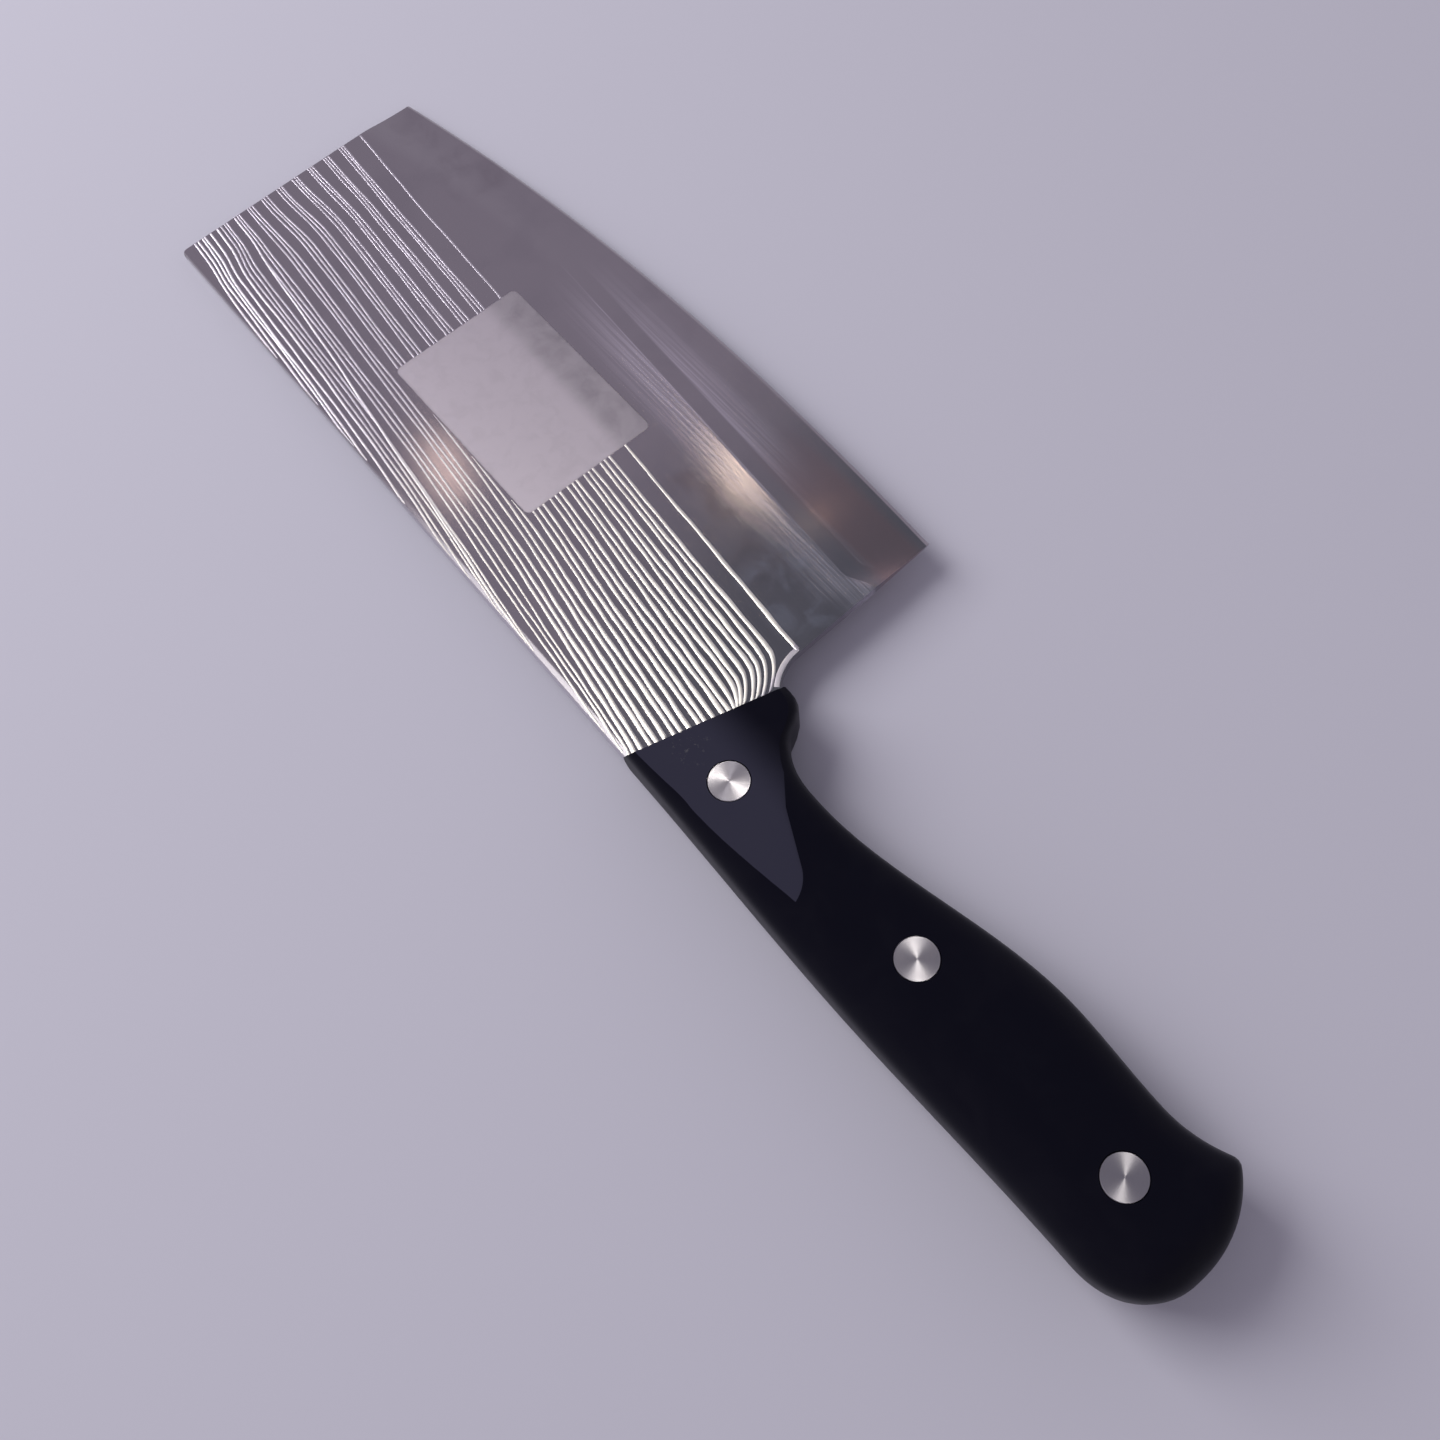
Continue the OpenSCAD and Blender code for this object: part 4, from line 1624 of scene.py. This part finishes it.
@dataclass
class Rivet:
    """One cutler's rivet: a male half on the right side and a female half on the left."""

    handle: Handle
    name: str
    spot: Point
    top: float
    slope: float = 0.0
    chamfer: float = 0.2
    stem_radius: float = 1.6
    stem_gap: float = 0.03
    end_gap: float = 0.4
    ring_width: float = 0.23
    ring_depth: float = 0.004
    ring_count: int = 15

    def __post_init__(self) -> None:
        """Works out where the underside of the head lies."""
        self.knife = self.handle.knife
        self.seat = self.top - self.handle.head_thickness
        self.low = self.knife.at(*self.spot, self.seat)

    def head(self, name: str) -> Object:
        """Turns a head: a disc with fine rings, a chamfered rim and a straight side.

        Args:
            name: Name of the piece.

        Returns:
            The head, open at its lower rim.
        """
        radius = self.handle.head_radius
        middle = self.knife.at(*self.spot, self.top)
        piece = disc(name, HEAD_SIDES, radius - self.chamfer, middle, (0, -self.slope, 0))
        with editing(piece, Part.FACES):
            for ring in range(self.ring_count):
                depth = self.ring_depth if ring % 2 else -self.ring_depth
                bpy.ops.mesh.inset(thickness=self.ring_width * MM, depth=depth * MM)
            bpy.ops.mesh.select_all(action="SELECT")
            bpy.ops.mesh.region_to_loop()
            extrude(Vector((0, 0, -self.chamfer)) * MM)
            wider = radius / (radius - self.chamfer)
            stretch((wider, wider, 1), middle)
        return piece

    def underside(self, piece: Object, radius: float) -> None:
        """Brings the open rim of a head down to its underside and in to the stem or barrel.

        Args:
            piece: The head, open in edit mode.
            radius: Radius of the stem or barrel.
        """
        choose(piece, Part.EDGES, lambda edge: edge.is_boundary)
        extrude(Vector((0, 0, self.seat + self.chamfer - self.top)) * MM)
        stretch((1, 1, 0), self.low)
        self.draw_in(radius, self.handle.head_radius)

    def draw_in(self, radius: float, before: float) -> None:
        """Adds a ring to the selected rim that draws it in, level with it.

        Args:
            radius: Radius of the new ring.
            before: Radius of the rim.
        """
        share = radius / before
        extrude(Vector((0, 0, 0)))
        stretch((share, share, 1), self.low)

    def build_male(self) -> Object:
        """Models the half with the solid stem.

        Returns:
            The male half.
        """
        piece = self.head(f"{self.name}_male_body")
        with editing(piece, Part.EDGES):
            self.underside(piece, self.stem_radius)
            extrude(Vector((0, 0, 2 * self.end_gap - 2 * self.seat)) * MM)
            bpy.ops.mesh.edge_face_add()
        tidy(piece)
        return piece

    def build_female(self) -> Object:
        """Models the half with the hollow barrel, on the left side.

        Returns:
            The female half.
        """
        piece = self.head(f"{self.name}_female_body")
        outer = self.handle.barrel_radius
        barrel = 2 * self.seat - self.end_gap
        with editing(piece, Part.EDGES):
            self.underside(piece, outer)
            extrude(Vector((0, 0, -barrel)) * MM)
            self.draw_in(self.stem_radius + self.stem_gap, outer)
            extrude(Vector((0, 0, barrel - self.end_gap)) * MM)
            bpy.ops.mesh.edge_face_add()
        with editing(piece):
            stretch((1, 1, -1), self.knife.at(0, 0))
        tidy(piece)
        return piece

    def add(self, steel: Material) -> None:
        """Models both halves and dresses them."""
        dress(self.build_male(), steel, Slot.RIVET, f"{self.name}_male")
        dress(self.build_female(), steel, Slot.RIVET, f"{self.name}_female")


@dataclass(frozen=True)
class Wave:
    """A small wave: its size, its length for one radian and how far a line's number shifts it."""

    size: float
    length: float
    shift: float

    def at(self, x: float, seed: float) -> float:
        """Gives its height at a distance from the tip, for a line of a given number."""
        return self.size * math.sin(x / self.length + self.shift * seed)


@dataclass
class PatternLines:
    """The wavy lines: nine groups of three that drift towards the spine, and a few single ones."""

    knife: KnifeFrame
    blade: Blade
    crest: float = 45.2
    drift: float = 0.0645
    bow: float = 0.55
    bow_start: float = 25.0
    bow_length: float = 110.0
    groups: int = 9
    group_gap: float = 4.33
    group_gap_gain: float = 0.7
    line_gap: float = 0.64
    line_gap_gain: Point = (0.0018, 0.000022)
    line_gap_fan: float = 0.035
    fan_end: float = 200.0
    reach: float = 166.0
    bulge: tuple[Knot, ...] = (Knot(0, -0.6), Knot(20, 1.0), Knot(60, 0.15), Knot(112, 0.65), Knot(142, 0.0))
    kink: float = 1.15
    kink_levels: Point = (5.5, 8.4)
    kink_ease: float = 0.4
    kink_ease_levels: Point = (8.4, 9.6)
    kink_late: Point = (6.5, 17.0)
    crowding: float = 1.7
    crowding_levels: Point = (5.9, 7.2)
    crowding_late: Point = (112.0, 170.0)
    crowd_levels: Point = (6.0, 7.0)
    crowd_squeeze: float = 0.35
    crowd_squeeze_late: Point = (105.0, 166.0)
    crowd_narrowing: float = 0.38
    crowd_narrowing_late: Point = (95.0, 140.0)
    waves: tuple[Wave, Wave] = (Wave(0.07, 7.3, 2.1), Wave(0.05, 3.1, 3.7))
    ripple: Wave = Wave(0.035, 1.35, 5.3)
    ripple_late: Point = (90.0, 140.0)
    swelling: Wave = Wave(0.1, 2.3, 1.9)
    swelling_late: Point = (80.0, 130.0)
    narrow: float = 0.5
    wide: float = 1.08
    wide_late: Point = (92.0, 172.0)
    bold: float = 0.06
    low_height: float = 0.03
    low_from: int = 7
    high_height: float = 0.05
    edge_margin: float = 0.3
    least_left: float = 0.08
    sunk: float = 0.03
    tip_gap: float = 0.1
    station_step: float = 2.4
    bend_start: float = 166.5
    bend_parts: int = 3
    bend_length: float = 8.0
    bend_depth: float = 5.2
    bend_levels: Point = (0.9, 2.5)
    choil_width: float = 1.3
    choil_gap: float = 0.1
    choil_sweep: float = math.radians(-46)
    choil_steps: int = 16
    line_sides: int = 10
    field_low: Point = (61.7, 17.9)
    field_high: Point = (110.9, 60.0)
    lone_level: float = -1.22
    lone_seed: float = 0.4
    loose_levels: tuple[float, ...] = (8.47, 8.86, 9.18, 9.33, 9.56, 9.8)
    loose_seed: int = 40
    bright_level: float = 7.22
    bright_rise: float = 0.63
    bright_rise_late: Point = (0.0, 100.0)
    bright_width: float = 0.5
    bright_growth: float = 0.2
    bright_growth_late: Point = (30.0, 110.0)
    bright_seed: float = 9.5
    bold_tone: Colour = (0.90, 0.87, 0.92, 1.0)
    crease: float = 60.0

    def level_y(self, level: float, x: float) -> float:
        """Gives the depth of a level of the pattern.

        Args:
            level: Number of the group, counted from the cutting edge's side.
            x: Distance from the tip.

        Returns:
            Its distance from the spine.
        """
        crest = self.crest - self.drift * x
        if x > self.bow_start:
            crest += self.bow * math.sin(math.pi * (x - self.bow_start) / self.bow_length)
        gap = self.group_gap + self.group_gap_gain * (x / self.reach) ** 3
        kink = self.kink * smooth_step(*self.kink_levels, level)
        kink *= 1 - self.kink_ease * smooth_step(*self.kink_ease_levels, level)
        hump = kink * (1 - smooth_step(*self.kink_late, x))
        last = self.groups - 1
        if 0 < level < last:
            hump += along(self.bulge, x) * math.sin(math.pi * level / last)
        crowding = self.crowding * smooth_step(*self.crowding_levels, level)
        hump += crowding * smooth_step(*self.crowding_late, x)
        late = max(0.0, x - self.bend_start) / self.bend_length
        bend = self.bend_depth * late * late * (1 - smooth_step(*self.bend_levels, level)) * (level > -1)
        return crest - level * gap + hump - bend

    def wobble(self, seed: float, x: float) -> float:
        """Gives the small unevenness of one line."""
        slow = self.waves[0].at(x, seed) + self.waves[1].at(x, seed)
        return slow + self.ripple.at(x, seed) * smooth_step(*self.ripple_late, x)

    def width(self, x: float, bold: float, crowd: float, seed: float) -> float:
        """Gives the width of a line.

        Args:
            x: Distance from the tip.
            bold: What a bold line is wider by near the tip.
            crowd: How far the line is one of those that crowd together near the spine.
            seed: Its number.

        Returns:
            The width there.
        """
        grown = smooth_step(*self.wide_late, x)
        wide = self.narrow + bold * (1 - grown) + (self.wide - self.narrow) * grown
        wide *= 1 + self.swelling.at(x, seed) * smooth_step(*self.swelling_late, x)
        return wide * (1 - self.crowd_narrowing * crowd * smooth_step(*self.crowd_narrowing_late, x))

    def spread(self, level: float, x: float, crowd: float) -> float:
        """Gives the distance between two lines of a group.

        Args:
            level: The group's level.
            x: Distance from the tip.
            crowd: How far the group is one of those that crowd together near the spine.

        Returns:
            The distance there.
        """
        near = min(x, self.bend_start)
        spread = self.line_gap + self.line_gap_gain[0] * near + self.line_gap_gain[1] * near * near
        spread += self.line_gap_fan * level * (1 - near / self.fan_end)
        return spread * (1 - self.crowd_squeeze * crowd * smooth_step(*self.crowd_squeeze_late, x))

    def route(self, level: float, offset: float, bold: float, seed: float) -> list[Station]:
        """Lays out one line from the tip to where it leaves the blade.

        Args:
            level: Its level.
            offset: Its place in its group: -1, 0 or 1.
            bold: What it is wider by near the tip.
            seed: Its number.

        Returns:
            The places and widths of its stations.
        """
        stations = []
        x, last = self.tip_gap, False
        crowd = smooth_step(*self.crowd_levels, level)
        while True:
            place = level + offset * self.spread(level, x, crowd) / self.group_gap
            y = self.level_y(place, x) + self.wobble(seed, x)
            wide = self.width(x, bold, crowd, seed)
            front = self.blade.length + y * math.tan(self.blade.front_lean)
            past = self.blade.choil_x - self.choil_width / 2 if level < -1 else front
            if y + wide / 2 < self.edge_margin + self.least_left or last:
                return stations
            if x > past:
                x, last = past, True
            shift = -y * math.tan(self.blade.tip_lean) if not stations else 0.0
            stations.append((x + shift, *self.inside(y, wide)))
            x += self.station_step if x < self.bend_start else self.station_step / self.bend_parts

    def bright_route(self) -> list[Station]:
        """Lays out the bold line that crosses from the seventh group towards the spine."""
        stations = []
        x = self.tip_gap
        while True:
            level = self.bright_level + self.bright_rise * smooth_step(*self.bright_rise_late, x)
            y = self.level_y(level, x) + self.wobble(self.bright_seed, x)
            wide = self.bright_width + self.bright_growth * smooth_step(*self.bright_growth_late, x)
            if y + wide / 2 < self.edge_margin + self.least_left:
                return stations
            stations.append((x, *self.inside(y, wide)))
            x += self.station_step

    def inside(self, y: float, wide: float) -> Point:
        """Narrows a line that runs off over the spine to the part that is still on the flat."""
        low, high = max(self.edge_margin, y - wide / 2), y + wide / 2
        return (low + high) / 2, high - low

    def runs(self, stations: list[Station]) -> list[list[Station]]:
        """Cuts a line where it meets the frosted field.

        Args:
            stations: The whole line.

        Returns:
            The stretches outside the field.
        """
        (left, low), (right, high) = self.field_low, self.field_high
        kept: list[list[Station]] = [[]]
        for here, after in zip(stations, stations[1:] + stations[-1:]):
            x, y, wide = here
            covered = left < x < right and y - wide / 2 < high
            if covered and y - wide / 2 < low - self.least_left:
                top = min(low, y + wide / 2)
                bottom = y - wide / 2
                kept[-1].append((x, (top + bottom) / 2, top - bottom))
            elif not covered:
                kept[-1].append(here)
            elif kept[-1]:
                kept.append([])
            for border in (left, right):
                if x < border < after[0]:
                    share = (border - x) / (after[0] - x)
                    met = tuple(a + (b - a) * share for a, b in zip(here, after))
                    if low - met[2] / 2 < met[1] < high:
                        kept[-1].append(met)
        return [run for run in kept if len(run) > 1]

    def trace(self, stations: list[Station], height: float) -> Object:
        """Draws one line as a low crowned ridge, extruded station by station.

        Args:
            stations: Places and widths along the line.
            height: How far its crown stands above the steel.

        Returns:
            The ridge, sunk a little into the steel.
        """
        x, y, wide = stations[0]
        face = self.blade.thickness / 2 - self.sunk
        centre = self.knife.at(x, y, face)
        ridge = disc("pattern_line", self.line_sides, 1, centre, (0, QUARTER_TURN, 0))
        with editing(ridge, Part.FACES):
            stretch((1, wide / 2, height + self.sunk), centre)
            for new_x, new_y, new_wide in stations[1:]:
                extrude(Vector((new_x - x, new_y - y, 0)) * MM)
                stretch((1, new_wide / wide, 1), self.knife.at(new_x, new_y, face))
                x, y, wide = new_x, new_y, new_wide
            face_out()
        return ridge

    def choil_line(self) -> Object:
        """Draws the outermost line's last stretch, which follows the hollow in front of the handle.

        Returns:
            The stretch, spun about the hollow's centre.
        """
        blade = self.blade
        half = self.choil_width / 2
        centre = self.knife.at(blade.choil_x + blade.choil_radius, blade.choil_y)
        face = blade.thickness / 2 - self.sunk
        start = self.knife.at(blade.choil_x - half - self.choil_gap, blade.choil_y, face)
        ridge = disc("pattern_line", self.line_sides, 1, start, (QUARTER_TURN, 0, 0))
        with editing(ridge, Part.FACES):
            stretch((half, 1, self.low_height + self.sunk), start)
            bpy.ops.mesh.spin(steps=self.choil_steps, angle=self.choil_sweep, center=centre, axis=(0, 0, 1))
            face_out()
        return ridge

    def build(self) -> list[Object]:
        """Models the lines of both sides.

        Returns:
            The fine lines on the right side, which leave the frosted field bare, the fine lines on the left,
            and the bold lines near the spine, right and left.
        """
        fine = [(self.route(self.lone_level, 0, 0.0, self.lone_seed), self.high_height)]
        offsets = (-1, 0, 1)
        for group in range(self.groups):
            height = self.low_height if group >= self.low_from else self.high_height
            for offset in offsets:
                fine.append((self.route(group, offset, 0.0, group * len(offsets) + offset), height))
        middle = self.knife.at(0, 0)
        lines = [self.trace(way, height) for way, height in fine]
        whole = joined([*lines, self.choil_line()], "pattern_lines_left")
        with editing(whole):
            stretch((1, 1, -1), middle)
            face_out()
        lines = [self.trace(run, height) for way, height in fine for run in self.runs(way)]
        broken = joined([*lines, self.choil_line()], "pattern_lines_right")
        loose = enumerate(self.loose_levels, self.loose_seed)
        ways = [self.route(level, 0, self.bold, seed) for seed, level in loose]
        lines = [self.trace(way, self.high_height) for way in (*ways, self.bright_route())]
        bold = joined(lines, "bold_lines_right")
        return [broken, whole, bold, mirrored(bold, "bold_lines_left", middle)]

    def add(self, effects: Effects) -> None:
        """Models the lines and dresses them.

        Args:
            effects: The shared effects.
        """
        fine = LineSteel(self.knife, effects, "line_fine").make()
        bold = LineSteel(self.knife, effects, "line_bold", self.bold_tone).make()
        for lines, steel in zip(self.build(), (fine, fine, bold, bold)):
            dress(lines, steel, Slot.STEEL, crease=self.crease)


@dataclass(frozen=True)
class Glint:
    """A lamp that is only seen in the shine of the steel, off a spot of the knife."""

    name: str
    spot: Spot
    way: Spot
    far: float
    size: Point
    power: float
    tone: Light


@dataclass
class Studio:
    """The floor, the lamps and the camera, none of which is part of the object."""

    knife: KnifeFrame
    blade: Blade
    handle: Handle
    camera_foot: Point = (268.81, -37.28)
    camera_height: float = 255.7
    aim: Spot = (172.71, 18.905, 0.9)
    picture_x: Point = (0.50475, 0.86327)
    roll: float = math.radians(-10)
    lens: float = 36.15
    sensor: float = 36.0
    nearest: float = 0.01
    floor_size: float = 6.0
    floor_tone: Colour = (0.62, 0.62, 0.685, 1.0)
    floor_roughness: float = 0.9
    floor_gloss: float = 0.1
    wall_tone: Colour = (0.50, 0.47, 0.54, 1.0)
    ceiling_tone: Colour = (0.32, 0.285, 0.35, 1.0)
    overhead_tone: Colour = (0.13, 0.135, 0.165, 1.0)
    wall_top: Point = (0.3, 0.7)
    dark_way: Spot = (0.0, 0.35, 0.94)
    dark_reach: Point = (0.86, 0.93)
    key_place: Spot = (-0.85, -0.42, 0.84)
    key_target: Point = (150.0, 35.0)
    key_size: Point = (0.85, 0.85)
    key_power: float = 11.6
    key_tone: Light = (1.0, 0.975, 1.0)
    glints: tuple[Glint, ...] = (
        Glint("line_light", (160, 20, 1), (-0.245, -0.14, 0.96), 0.58, (0.15, 0.15), 1.1, (1, 0.97, 0.9)),
        Glint("tip_light", (30, 30, 1), (-0.72, -0.25, 0.65), 0.6, (0.15, 0.15), 0.75, (1, 0.97, 1)),
        Glint(
            "warm_middle", (133.5, 57.5, 1), (-0.46, 0.328, 0.84), 0.5, (0.01, 0.028), 0.0058, (1, 0.77, 0.55)
        ),
        Glint("warm_low", (90, 12, 1), (-0.567, 0.156, 0.808), 0.5, (0.012, 0.03), 0.0026, (1, 0.74, 0.6)),
        Glint("warm_heel", (150.5, 63, 1), (-0.393, 0.453, 0.8), 0.5, (0.006, 0.01), 0.0002, (1, 0.72, 0.5)),
    )

    def build_floor(self) -> None:
        """Lays the floor under the two places on which the knife rests."""
        swell = self.handle.front + self.handle.length - self.handle.swell_back
        fall = self.handle.swell_thickness / 2 - self.blade.thickness / 2
        tilt = math.atan2(fall, swell + self.blade.tip_reach)
        rest = self.knife.at(-self.blade.tip_reach, self.blade.depth / 2, -self.blade.thickness / 2)
        bpy.ops.mesh.primitive_plane_add(size=self.floor_size, location=rest, rotation=(0, tilt, 0))
        floor = started("floor")
        material, wire, shader = new_material("floor_paper")
        looks = {"Base Color": self.floor_tone, "Roughness": self.floor_roughness}
        wire.feed(shader, looks | {"Specular IOR Level": self.floor_gloss})
        floor.data.materials.append(material)

    def build_world(self) -> None:
        """Sets the room: pale round the sides and darker overhead, as the steel mirrors it."""
        world = bpy.data.worlds.new("room")
        world.use_nodes = True
        wire = Wiring(world.node_tree)
        background = next(n for n in wire.tree.nodes if n.type == "BACKGROUND")
        ahead = wire.node("ShaderNodeTexCoord").outputs["Generated"]
        facing = wire.node("ShaderNodeVectorMath", {0: ahead, 1: self.dark_way}, operation="DOT_PRODUCT")
        high = wire.ramp(wire.split(ahead)[2], *self.wall_top)
        over = wire.ramp(facing.outputs["Value"], *self.dark_reach)
        tone = wire.blend(high, self.wall_tone, self.ceiling_tone)
        wire.feed(background, {"Color": wire.blend(over, tone, self.overhead_tone), "Strength": 1.0})
        bpy.context.scene.world = world

    def add_lamp(
        self, name: str, place: Vector, target: Vector, size: Point, power: float, tone: Light
    ) -> Object:
        """Hangs a soft lamp, which lights things but isn't mirrored in them.

        Args:
            name: Name of the lamp.
            place: Where it hangs, in metres.
            target: What it faces, in metres.
            size: Its width and height in metres.
            power: Its power in watts.
            tone: Its colour.

        Returns:
            The lamp.
        """
        bpy.ops.object.light_add(type="AREA", location=place)
        lamp = bpy.context.object
        lamp.name = name
        lamp.data.shape = "RECTANGLE"
        lamp.data.size, lamp.data.size_y = size
        lamp.data.energy = power
        lamp.data.color = tone
        lamp.visible_glossy = False
        lamp.rotation_euler = (target - place).to_track_quat("-Z", "Y").to_euler()
        return lamp

    def build_lamps(self) -> None:
        """Hangs the lamps: one that lights, and a few that only shine back from the steel."""
        steel = bpy.data.collections.new(LIT_STEEL)
        target = self.knife.at(*self.key_target)
        self.add_lamp("key", Vector(self.key_place), target, self.key_size, self.key_power, self.key_tone)
        for glint in self.glints:
            spot = self.knife.at(*glint.spot)
            place = spot + Vector(glint.way).normalized() * glint.far
            lamp = self.add_lamp(glint.name, place, spot, glint.size, glint.power, glint.tone)
            lamp.visible_diffuse = False
            lamp.visible_glossy = True
            lamp.light_linking.receiver_collection = steel

    def build_camera(self) -> None:
        """Puts the camera where the photograph was taken."""
        place = self.knife.at(*self.camera_foot, self.camera_height)
        ahead = (self.knife.at(*self.aim) - place).normalized()
        level = Vector((*self.picture_x, 0.0)).normalized()
        below = ahead.cross(level)
        right = math.cos(self.roll) * level - math.sin(self.roll) * below
        down = math.sin(self.roll) * level + math.cos(self.roll) * below
        data = bpy.data.cameras.new("camera")
        data.lens = self.lens
        data.sensor_width = self.sensor
        data.clip_start = self.nearest
        camera = bpy.data.objects.new("camera", data)
        bpy.context.scene.collection.objects.link(camera)
        turned = Matrix((right, -down, -ahead)).transposed().to_4x4()
        camera.matrix_world = Matrix.Translation(place) @ turned
        bpy.context.scene.camera = camera

    def build(self) -> None:
        """Sets up the whole studio."""
        self.build_floor()
        self.build_world()
        self.build_lamps()
        self.build_camera()
        bpy.context.scene.view_settings.view_transform = "Standard"


def main() -> None:
    """Builds the knife piece by piece and sets it in the studio."""
    logging.basicConfig(level=logging.INFO, format="%(name)s: %(message)s")
    blade = Blade()
    knife = blade.knife
    handle = Handle(knife)
    effects = Effects()
    Studio(knife, blade, handle).build()
    blade.add(handle, effects)
    PatternLines(knife, blade).add(effects)
    handle.add(effects)
    steel = TurnedSteel(knife, effects, "turned_steel").make()
    slopes = (handle.facet_slope, 0.0, 0.0)
    for name, spot, top, slope in zip(("front", "middle", "rear"), handle.rivets, handle.head_tops(), slopes):
        Rivet(handle, f"rivet_{name}", spot, top, slope).add(steel)

    bpy.ops.object.select_all(action="DESELECT")


if __name__ == "__main__":
    main()
